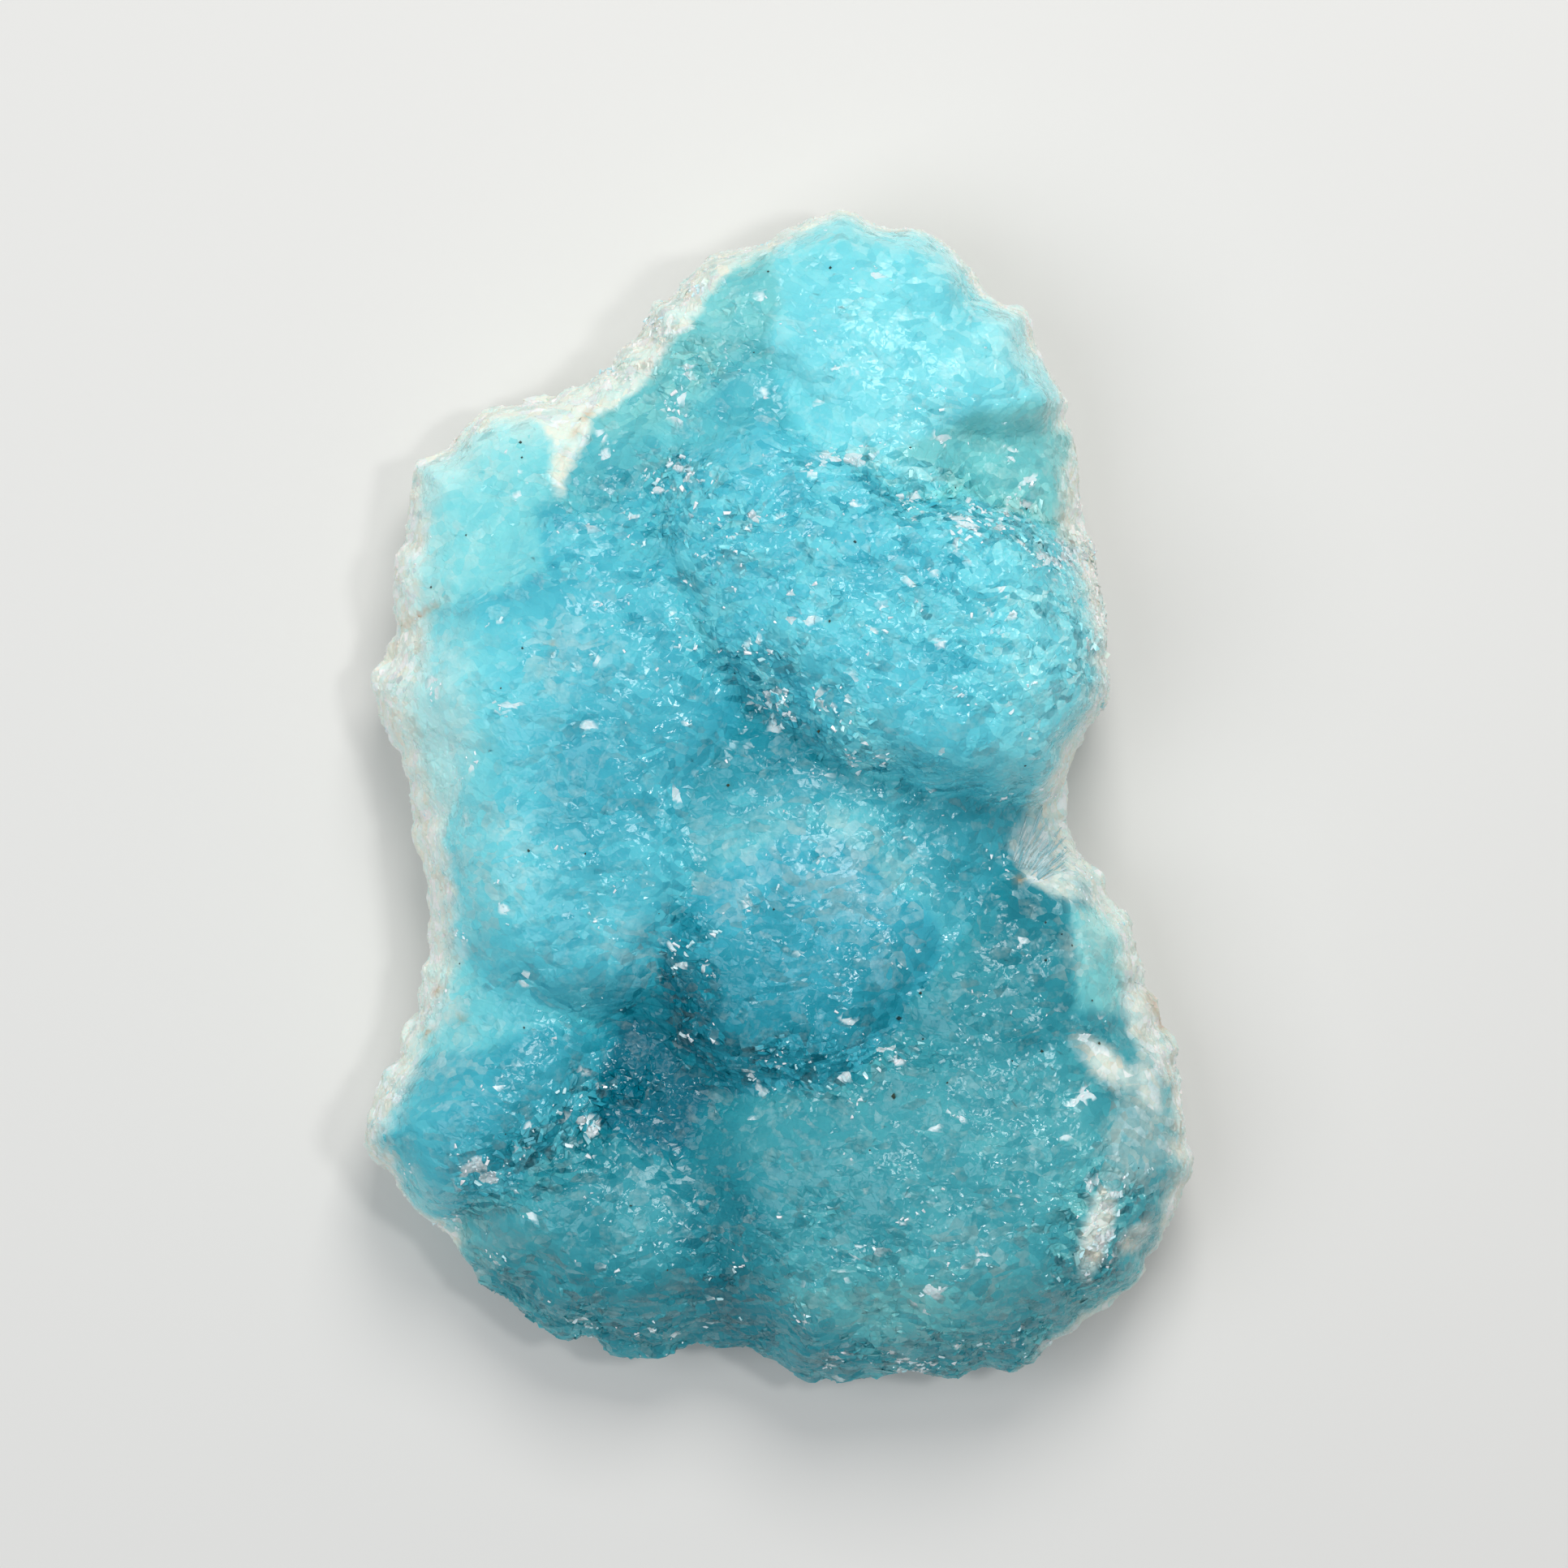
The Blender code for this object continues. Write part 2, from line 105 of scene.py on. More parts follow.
# centre x, y, half length, half width, turn, height, fall at its edge, how late it falls,
# slope x, y, softness of the join; then its tone, 0 deep teal to 1 pale aqua, and how green it is
lobes = {
    "shadedSlope": (-8.4, 27.0, 14.2, 8.1, 48, 14.9, 1.2, 2.4, 0.10, 0.24, 1.2, 0.66, 0.85),
    "trough": (-10.2, 17.9, 6.8, 6.4, 0, 14.2, 1.2, 2.4, -0.02, 0.16, 1.5, 0.54, 0.60),
    "upperLeft": (-21.6, 20.8, 8.4, 10.0, 12, 12.9, 2.6, 6.0, 0.10, -0.14, 0.5, 0.78, 0.45),
    "underShelf": (14.6, 21.1, 10.0, 5.9, 8, 15.7, 1.2, 2.4, -0.10, -0.24, 1.0, 0.72, 0.95),
    "leftFlank": (-21.5, 5.5, 8.6, 12.4, 0, 14.0, 2.8, 2.0, 0.20, 0.0, 3.0, 0.80, 0.40),
    "leftDome": (-13.5, 6.6, 9.9, 10.2, -10, 17.6, 2.8, 3.2, 0.12, 0.06, 2.0, 0.52, 0.15),
    "lowerLeftFlank": (-19.4, -5.9, 6.5, 10.3, 0, 13.8, 2.6, 2.4, 0.15, 0.0, 3.0, 0.74, 0.40),
    "lowerLeftDome": (-13.6, -4.6, 8.9, 9.7, -8, 17.2, 3.0, 4.4, 0.06, 0.04, 2.2, 0.50, 0.20),
    # painted shade: the cavity floor's low tone stands for the shade deep in the cavity
    "cavityFloor": (-8.4, -18.4, 7.4, 6.6, -40, 12.0, 1.0, 2.0, 0.0, 0.0, 1.5, 0.12, 0.00),
    "middleSaddle": (3.6, -2.6, 10.4, 11.4, -6, 16.7, 1.8, 2.6, -0.06, -0.07, 1.0, 0.42, 0.50),
    "middleDome": (1.5, -9.6, 8.2, 8.7, 0, 17.5, 1.8, 4.6, 0.02, 0.0, 0.6, 0.29, 0.10),
    "fold": (-5.6, 13.2, 5.6, 4.8, -50, 17.2, 1.4, 2.0, 0.05, 0.0, 2.0, 0.52, 0.20),
    "greatFoot": (12.4, 6.2, 9.6, 6.0, 3, 18.4, 2.2, 3.0, 0.0, 0.20, 1.6, 0.46, 0.20),
    "great": (10.2, 10.3, 12.0, 8.3, -20, 22.4, 3.0, 5.0, 0.0, -0.03, 1.4, 0.62, 0.05),
    "greatLeft": (1.8, 15.3, 9.8, 7.4, -37, 20.6, 2.6, 6.0, 0.10, -0.08, 1.0, 0.58, 0.05),
    "greatNeck": (-2.1, 21.7, 6.6, 7.0, 0, 16.8, 2.0, 2.0, 0.16, -0.06, 2.5, 0.58, 0.50),
    "shelfRoot": (6.4, 25.2, 5.6, 4.8, -10, 17.9, 1.4, 3.0, 0.0, -0.16, 1.6, 0.84, 0.10),
    "upperPlane": (12.0, 33.4, 12.8, 9.8, 8, 17.0, 2.0, 8.0, 0.0, -0.20, 1.3, 0.84, 0.10),
    "ridgeRoot": (-19.2, -14.8, 7.0, 5.8, 10, 13.8, 1.8, 2.2, 0.08, 0.0, 2.4, 0.60, 0.40),
    "ridge": (-19.8, -21.2, 9.8, 5.4, 33, 15.4, 3.2, 3.0, -0.06, 0.0, 1.2, 0.40, 0.30),
    "footLeft": (-12.6, -29.6, 11.8, 7.9, -18, 13.8, 2.6, 2.6, 0.02, 0.06, 1.2, 0.33, 0.90),
    "footMiddle": (5.0, -33.0, 10.0, 7.4, 0, 14.4, 2.8, 2.4, 0.0, 0.0, 1.6, 0.36, 0.90),
    "footRight": (12.6, -25.0, 15.4, 12.2, 5, 17.0, 3.2, 2.6, 0.0, 0.0, 1.6, 0.36, 1.00),
    "rightSlope": (16.2, -13.0, 9.0, 6.0, 52, 16.2, 1.6, 4.0, -0.10, 0.0, 0.7, 0.33, 0.90),
}


def smoothLoop(points, steps):
    p = np.array(points, float)
    before, after, beyond = np.roll(p, 1, 0), np.roll(p, -1, 0), np.roll(p, -2, 0)
    rows = []
    for t in np.arange(steps) / steps:
        rows.append(0.5 * (2 * p + (after - before) * t
                           + (2 * before - 5 * p + 4 * after - beyond) * t ** 2
                           + (3 * p - before - 3 * after + beyond) * t ** 3))
    return np.stack(rows, 1).reshape(-1, 2)


def evenLoop(curve, step):
    ends = np.vstack([curve, curve[:1]])
    run = np.concatenate([[0], np.cumsum(np.hypot(*np.diff(ends, axis=0).T))])
    at = np.linspace(0, run[-1], int(run[-1] / step), endpoint=False)
    return np.stack([np.interp(at, run, ends[:, 0]), np.interp(at, run, ends[:, 1])], 1)


# smooth noise over the face, about -1 to 1
def wave(x, y, length, seed):
    random = np.random.RandomState(seed)
    total = np.zeros_like(x)
    for _ in range(7):
        turn = random.uniform(0, 2 * math.pi)
        rate = 2 * math.pi / (length * random.uniform(0.7, 1.4))
        phase = random.uniform(0, 2 * math.pi)
        along = math.cos(turn) * x + math.sin(turn) * y
        across = math.sin(turn) * x - math.cos(turn) * y
        total += np.sin(rate * along + phase + 1.3 * np.sin(0.6 * rate * across + 2 * phase))
    return total / math.sqrt(7)


def smoothStep(value, low, high):
    t = np.clip((value - low) / (high - low), 0, 1)
    return t * t * (3 - 2 * t)


# 1 inside a soft ellipse, 0 outside
def patch(x, y, cx, cy, a, b, turn, edge=0.5):
    dx, dy = x - cx, y - cy
    cos, sin = math.cos(math.radians(turn)), math.sin(math.radians(turn))
    reach = np.hypot((dx * cos + dy * sin) / a, (dy * cos - dx * sin) / b)
    return 1 - smoothStep(reach, 1 - edge, 1 + edge)


# rounded facets that lean each its own way, with a jittered grid of middles
def facets(points, size, seed):
    random = np.random.RandomState(seed)
    low, high = points.min(0) - size, points.max(0) + size
    axes = [np.arange(a, b, size) for a, b in zip(low, high)]
    seeds = np.stack([g.ravel() for g in np.meshgrid(*axes)], 1)
    seeds += random.uniform(-0.45, 0.45, seeds.shape) * size
    leans = random.uniform(-0.5, 0.5, seeds.shape)
    tree = KDTree(len(seeds))
    for i, seedPoint in enumerate(seeds):
        tree.insert(seedPoint, i)
    tree.balance()
    near = np.array([[found[1] for found in tree.find_n(p, 2)] for p in points.tolist()])
    highest = np.full(len(points), -9.0)
    for column in near.T:
        away = (points - seeds[column]) / size
        dome = 1 - np.sqrt((away ** 2).sum(1))
        highest = np.maximum(highest, dome + (away * leans[column]).sum(1))
    return highest


# how far each point lies inside a closed loop, less than 0 outside
def inward(points, loop):
    ends = np.roll(loop, -1, 0)
    least = np.full(len(points), 1e9)
    inside = np.zeros(len(points), bool)
    for start, end in zip(loop, ends):
        side, to = end - start, points - start
        share = np.clip((to @ side) / (side @ side), 0, 1)
        least = np.minimum(least, np.hypot(*(to - share[:, None] * side).T))
        spans = (start[1] > points[:, 1]) != (end[1] > points[:, 1])
        rise = end[1] - start[1] if end[1] != start[1] else 1e-9
        inside ^= spans & (points[:, 0] < start[0] + (points[:, 1] - start[1]) * side[0] / rise)
    return np.where(inside, least, -least)


def rimHeight(x, y):
    return crust["rimHeight"] + crust["rimVaries"] * 0.5 * wave(x, y, 13, 21) + 0.3 * wave(x, y, 4, 22)


def grownShare(x, y, use):
    low, fade, right, rightFade = grown[use]
    return np.clip((-y - low) / fade, 0, 1) * np.clip((right - x) / rightFade, 0, 1)


def faceHeight(x, y, depth, withTone=False):
    c = crust
    bentX = x + c["lobeBend"] * wave(x, y, 11, 1) + c["lobeWave"] * wave(x, y, 4, 2)
    bentY = y + c["lobeBend"] * wave(x, y, 11, 3) + c["lobeWave"] * wave(x, y, 4, 4)
    height = c["baseHeight"] + np.clip(depth / c["baseRise"], 0, 1)
    tone, green = np.full_like(x, c["baseTone"]), np.full_like(x, c["baseGreen"])
    for cx, cy, a, b, turn, top, fall, late, slopeX, slopeY, softness, lobeTone, lobeGreen in lobes.values():
        dx, dy = bentX - cx, bentY - cy
        cos, sin = math.cos(math.radians(turn)), math.sin(math.radians(turn))
        reach = np.hypot((dx * cos + dy * sin) / a, (dy * cos - dx * sin) / b)
        dome = top + slopeX * dx + slopeY * dy - fall * reach ** late
        toneShare = np.clip(0.5 + 0.5 * (dome - height) / (softness * c["toneJoin"]), 0, 1)
        tone = tone + (lobeTone - tone) * toneShare
        green = green + (lobeGreen - green) * toneShare
        softness = softness * c["join"]
        share = np.clip(0.5 + 0.5 * (dome - height) / softness, 0, 1)
        height = height + (dome - height) * share + softness * share * (1 - share)
    height -= c["shoulderFall"] * (1 - np.clip(depth / c["shoulderWidth"], 0, 1)) ** 2
    rounding = c["brokenRound"] + (c["grownRound"] - c["brokenRound"]) * grownShare(x, y, "form")
    rounding *= 1 + 0.16 * wave(x, y, 6, 23)
    share = np.clip(depth / rounding, 0, 1)
    rim = np.minimum(rimHeight(x, y), 0.62 * height)
    height = rim + (height - rim) * np.sqrt(1 - (1 - share) ** 2)
    return (height, tone, green) if withTone else height


def backHeight(x, y, depth):
    inset = np.maximum(crust["backInset"] + crust["backVaries"] * 0.7 * wave(x, y, 12, 31), 0.8)
    share = np.clip(depth / inset, 0, 1)
    rough = 0.35 * wave(x, y, 2.6, 32) * np.sin(math.pi * share) ** 2
    return np.maximum(rimHeight(x, y) * (1 - np.sqrt(1 - (1 - share) ** 2)) + rough * (share < 1), 0)


# the face and the back as two sheets that share their rim
def crustMesh():
    loop = evenLoop(smoothLoop(outline, 8), crust["loopStep"])
    tangent = np.roll(loop, -1, 0) - np.roll(loop, 1, 0)
    tangent /= np.hypot(*tangent.T)[:, None]
    inner = np.stack([-tangent[:, 1], tangent[:, 0]], 1)
    teeth = wave(*loop.T, 1.6, 41) + wave(*loop.T, 3.5, 42) + 0.6 * wave(*loop.T, 0.9, 43)
    loop = loop + inner * crust["teeth"] * teeth[:, None]
    random = np.random.RandomState(5)
    step = crust["faceStep"]
    gx, gy = np.meshgrid(np.arange(-30, 30, step), np.arange(-41, 41, step * math.sqrt(3) / 2))
    gx[1::2] += step / 2
    grid = np.stack([gx.ravel(), gy.ravel()], 1) + random.uniform(-0.24, 0.24, (gx.size, 2)) * step
    ring = np.vstack([loop + inner * reach for reach in (0.2, 0.45)])
    ring = ring[inward(ring, loop) > np.repeat([0.17, 0.4], len(loop))]
    points = np.vstack([loop, ring, grid[inward(grid, loop) > 0.45 + 0.4 * step]])
    count = len(loop)
    edges = [(i, (i + 1) % count) for i in range(count)]
    laid, _, faces, *_ = delaunay_2d_cdt([Vector(p) for p in points], edges, [], 1, 1e-4)
    flat = np.array([(p.x, p.y) for p in laid])
    faces = [tuple(face) for face in faces]
    depth = np.maximum(inward(flat, loop), 0)
    onRim = depth < 1e-3
    x, y = flat.T
    level = rimHeight(x, y)
    top = np.where(onRim, level, np.maximum(faceHeight(x, y, depth), level * 0.5))
    under = backHeight(x, y, depth)
    underIndex = np.where(onRim, np.arange(len(flat)), np.cumsum(~onRim) - 1 + len(flat))
    corners = np.vstack([np.stack([x, y, top], 1), np.stack([x, y, under], 1)[~onRim]])
    triangles = faces + [tuple(int(underIndex[i]) for i in reversed(face)) for face in faces]
    mesh = bpy.data.meshes.new("crustSheets")
    mesh.from_pydata((corners * mm).tolist(), [], triangles)
    return mesh, loop


# the mesh as one modifier leaves it
def through(mesh, kind, **settings):
    holder = bpy.data.objects.new("holder", mesh)
    bpy.context.scene.collection.objects.link(holder)
    modifier = holder.modifiers.new("m", kind)
    for name, value in settings.items():
        setattr(modifier, name, value)
    graph = bpy.context.evaluated_depsgraph_get()
    result = bpy.data.meshes.new_from_object(holder.evaluated_get(graph))
    bpy.data.objects.remove(holder)
    return result


def vectors(items, name):
    table = np.empty(len(items) * 3, np.float32)
    items.foreach_get(name, table)
    return table.reshape(-1, 3).astype(float)


# maps over the face: tone, painted shade in hollows, broken rim, where crystals stand tall
maps = dict(
    step=0.3, hollowReach=3.0, hollowShadeTone=0.02, cloud=0.035, paleCloud=0.22,
    paintedEdgeLight=0.22, edgeReach=3.0, paintedFlankLight=0.12, clusters=0.28, regionBend=0.25,
    rimPale=0.36, leastRimPale=0.2, hollowLow=-1.2, hollowHigh=2.5, hollowShare=0.3,
    cavity=(-8.0, -17.0, 6.0, 7.0), cavityCore=(-8.0, -17.0, 4.0, 5.0),
)

toneAndShadePatches = [  # centre x, y, half length, half width, turn, tone added; the darker patches in hollows, grooves and recesses are painted shade
    (4.4, -4.6, 6.5, 4.5, -30, 0.12),      # pale saddle
    (13.0, -3.4, 4.6, 3.0, -35, -0.10),    # painted shade in the deep hollow at the waist
    (-1.5, 4.4, 4.5, 4.0, 0, -0.12),       # painted shade in the recess under the great lobe
    (-7.2, -15.4, 3.8, 6.0, 0, -0.20),     # painted shade in the cavity
    (1.5, -15.5, 8.0, 3.4, 0, -0.08),      # painted shade at the foot of the middle dome
    (-2.5, -9.0, 3.0, 5.0, 0, 0.02),
    (15.5, -24.5, 7.0, 5.5, 10, 0.03),     # middle of the right foot
    (8.0, -36.5, 13.0, 2.6, 0, -0.08),     # painted shade along the dim lower edge
    (8.0, -33.5, 7.0, 2.8, 0, 0.19),
    (-9.0, -35.0, 12.0, 3.2, -15, -0.08),
    (-3.4, -29.0, 2.6, 7.0, 8, -0.24),     # painted shade in the groove between the feet
    (-13.0, -21.0, 5.0, 7.0, -40, -0.08),  # painted shade on the steep side of the ridge
    (-9.6, 20.4, 2.6, 3.4, 24, -0.06),     # painted shade, darkest of the trough
    (-5.5, 30.0, 4.0, 3.0, 40, 0.05),
    (-1.6, 27.0, 3.0, 4.0, 0, -0.07),
    (-3.4, -5.6, 2.6, 3.6, 0, 0.09),
    (2.4, -12.8, 4.0, 2.4, 0, 0.06),
    (0.4, 3.0, 2.6, 2.2, 0, -0.06),
    (19.6, -26.0, 3.0, 5.0, 0, 0.08),
    (17.8, 8.4, 4.2, 8.0, 0, 0.18),
    (10.4, 6.6, 5.0, 3.0, -10, -0.06),
    (7.6, 16.3, 4.0, 3.0, -20, -0.09),
    (-22.8, 5.0, 3.2, 6.4, 0, 0.30),       # painted light on the pale left flank
    (-18.6, 6.5, 3.6, 6.0, 0, 0.13),
    (-11.0, 1.4, 5.5, 4.0, 0, -0.08),      # painted shade between the left domes
    (-18.4, -4.6, 3.6, 4.6, 0, 0.14),
    (-9.7, -10.2, 3.0, 4.0, 0, 0.05),
    (-21.6, 18.2, 2.6, 3.0, 0, -0.04),
    (15.8, 29.4, 3.4, 3.0, 0, 0.07),
    (15.4, -7.6, 2.4, 2.2, 0, -0.10),      # painted shade, darkest of the waist facet
    (13.2, -13.2, 2.6, 2.4, 0, 0.07),
    (0.0, 3.4, 2.2, 2.0, 0, -0.05),
    (-7.4, -14.6, 2.6, 3.0, 0, -0.08),
    (-19.4, -24.4, 2.8, 2.2, 33, -0.06),
    (7.6, -34.6, 3.0, 1.8, 0, 0.06),
    (-18.4, -27.0, 3.0, 2.0, 0, 0.04),
]

regions = [  # facets with a clean edge: tone, partly painted light and shade of the facet, how green, softness of the edge, strength, corners
    (0.68, 0.95, 0.35, 0.85, [      # facet under the shelf
        (7.4, 22.4), (10.6, 24.2), (14.0, 25.5), (16.8, 25.9), (21.5, 25.9), (21.5, 18.6),
        (18.7, 18.0), (15.3, 19.4), (11.2, 20.6)]),
    (0.76, 0.15, 0.5, 0.8, [        # upper plane
        (-0.8, 42.0), (-0.5, 35.0), (0.6, 29.9), (0.2, 26.5), (1.3, 24.1), (5.3, 21.7), (7.4, 22.4),
        (10.6, 24.2), (14.0, 25.5), (16.8, 25.9), (22.0, 25.9), (22.0, 42.0)]),
    (0.77, 0.45, 0.3, 0.8, [        # upper left
        (-30.0, 30.0), (-12.0, 27.5), (-12.2, 25.5), (-13.1, 23.6), (-14.2, 21.0), (-15.8, 18.9),
        (-15.4, 17.0), (-15.3, 15.0), (-18.0, 13.4), (-24.0, 12.4), (-30.0, 12.0)]),
    (0.20, 1.0, 0.5, 0.75, [        # dark facet at the waist, painted shade
        (15.8, -5.6), (19.0, -6.8), (19.7, -9.8), (19.4, -13.6), (17.0, -16.8), (13.4, -17.2),
        (10.6, -15.2), (12.6, -10.6)]),
    (0.76, 0.8, 0.4, 0.9, [         # light facet beside it
        (19.0, -6.8), (23.0, -8.2), (24.2, -11.0), (22.4, -14.2), (19.4, -13.6), (19.7, -9.8)]),
]

paleRegions = [  # broken, pale areas with a clean inner edge: strength, softness of the edge, corners
    (0.95, 0.25, [
        (-1.6, 38.0), (-2.6, 35.2), (-4.2, 33.0), (-5.6, 31.6), (-7.6, 28.8), (-8.8, 27.4), (-9.2, 26.7),
        (-10.6, 25.9), (-11.8, 25.1), (-12.7, 23.4), (-13.4, 22.4), (-14.2, 19.6), (-15.1, 20.2),
        (-14.9, 22.8), (-15.4, 24.2), (-17.0, 25.4), (-19.0, 27.5), (-9.0, 37.0)]),
    (0.55, 0.5, [
        (14.8, -3.8), (17.0, 0.8), (19.6, 1.8), (20.2, -1.0), (20.8, -3.5), (18.4, -4.6), (16.5, -5.0)]),
    (0.75, 0.25, [
        (16.2, -4.9), (18.6, -6.8), (23.0, -8.1), (25.0, -8.5), (21.4, -2.0), (19.2, -1.2), (18.4, -3.0)]),
    (0.85, 0.25, [(24.0, -10.8), (27.0, -15.0), (26.0, -16.0), (22.9, -15.2), (23.1, -12.8)]),
    (0.60, 0.9, [
        (-27.0, 3.0), (-24.0, 1.5), (-22.6, -2.0), (-21.4, -5.0), (-21.6, -8.0), (-20.8, -10.5),
        (-21.6, -12.8), (-26.0, -14.0), (-26.0, 0.0)]),
]

rimWidths = [  # where the pale broken edge is wide: centre x, y, reach, extra width
    (-4.0, 33.5, 8.0, 0.4), (-11.0, 27.0, 6.0, 0.4), (-16.5, 26.5, 4.0, 0.6), (-25.5, 14.0, 6.0, 0.7),
    (-26.5, 6.5, 5.0, 1.2), (-24.3, -2.5, 4.5, 1.0), (-23.3, -9.5, 4.5, 1.0), (-26.5, -19.5, 4.0, 0.9),
    (21.0, 17.0, 4.0, 0.9), (21.8, 9.0, 5.0, 0.5), (19.3, -1.0, 3.8, 0.9), (22.0, -7.5, 3.5, 0.4),
    (25.5, -14.5, 4.0, 1.3), (26.0, -24.5, 4.0, 0.6),
]

palePatches = [  # more pale or cream areas: centre x, y, half length, half width, turn, strength
    (21.6, -17.6, 2.6, 0.9, -40, 0.9), (24.4, -19.2, 1.9, 0.9, -70, 0.8), (20.9, -28.4, 0.9, 3.0, -14, 1.0),
    (23.6, -29.0, 1.3, 0.8, 40, 0.8),
    (18.8, -0.6, 0.9, 1.6, -10, 0.6),
    (-22.8, -14.4, 2.0, 1.2, 30, 0.5),
    (-25.0, 13.0, 1.4, 4.0, 6, 0.8), (24.0, -22.0, 2.4, 3.6, -20, 0.35),
    (4.4, -4.6, 5.6, 3.6, -30, 0.17), (6.6, -9.2, 2.6, 3.0, 0, 0.11), (-3.2, -5.4, 2.4, 2.8, 0, 0.15),
    (20.2, -9.4, 1.6, 2.6, -20, 0.26), (-14.0, 9.8, 2.6, 2.8, 0, 0.16), (-18.4, -4.4, 2.8, 3.6, 0, 0.17),
    (-9.8, -9.8, 2.2, 2.6, 0, 0.13), (13.0, -29.4, 3.4, 2.8, 0, 0.09),
    (-21.5, -16.8, 2.2, 2.2, 0, 0.16),
]

stains = [  # ochre streaks and dots: centre x, y, half length, half width, turn, strength
    (-23.4, 12.2, 1.1, 0.14, 24, 1.0), (-24.7, 11.3, 0.25, 0.2, 0, 0.9), (-25.5, 10.2, 0.3, 0.2, 60, 0.8),
    (-14.8, 9.5, 0.16, 0.7, -4, 0.45), (-12.6, 25.2, 0.5, 0.2, 50, 0.7), (-13.4, 24.0, 0.4, 0.2, 60, 0.6),
    (-14.0, 22.7, 0.3, 0.2, 60, 0.5), (24.9, -13.4, 0.4, 1.0, 16, 0.6), (25.6, -15.0, 0.4, 1.0, 20, 0.5),
    (-22.4, -12.8, 0.5, 0.25, 20, 0.6), (-20.8, -14.6, 0.4, 0.2, -30, 0.55), (-23.2, -15.6, 0.5, 0.2, 40, 0.5),
    (15.8, -5.4, 0.35, 0.3, 0, 0.6), (-6.6, -14.4, 0.5, 0.16, 70, 0.45),
]

sparklePatches = [  # taller crystals: centre x, y, half length, half width, turn, strength
    (13.0, 18.0, 10.5, 2.6, -22, 1.0), (8.0, 19.5, 9.0, 3.0, -15, 0.7), (1.0, 6.5, 8.5, 2.0, -36, 1.0),
    (-1.0, 15.0, 10.0, 7.0, -35, 0.5), (15.0, 12.0, 9.0, 7.0, -20, 0.55), (1.5, -17.5, 8.5, 2.0, 0, 0.8),
    (-5.8, -12.0, 1.6, 6.0, 0, 0.8), (-14.5, -22.5, 8.0, 2.6, 36, 1.0), (-8.0, 30.0, 6.0, 6.0, 0, 0.45),
    (3.0, -32.0, 12.0, 5.0, 0, 0.35), (-12.0, 18.0, 4.0, 4.0, 0, 0.4), (20.8, -28.5, 2.6, 5.0, -12, 0.9),
    (-14.0, -35.0, 10.0, 3.0, -20, 0.5), (12.0, -36.5, 12.0, 3.0, 0, 0.5), (-5.5, 19.0, 5.5, 3.2, -30, 0.9),
    (-6.5, 28.0, 2.6, 3.0, 0, 0.7),
]


def boxBlur(table, cells):
    for axis in (0, 1):
        for _ in range(2):
            pad = [(cells + 1, cells), (0, 0)] if axis == 0 else [(0, 0), (cells + 1, cells)]
            run = np.cumsum(np.pad(table, pad, mode="edge"), axis)
            width = 2 * cells + 1
            table = (run[width:] - run[:-width] if axis == 0 else run[:, width:] - run[:, :-width]) / width
    return table


# the place of each point with the lines of the grid bent, so that edges wander
def bent(x, y, long, short, shortBend, seed):
    reach = maps["regionBend"]
    return np.stack([x + reach * wave(x, y, long, seed) + shortBend * wave(x, y, short, seed + 1),
                     y + reach * wave(x, y, long, seed + 2)], 1)


# the strongest patch at each point, no less than the start
def strongest(x, y, start, patches, edge):
    for cx, cy, a, b, turn, strength in patches:
        start = np.maximum(start, strength * patch(x, y, cx, cy, a, b, turn, edge))
    return start


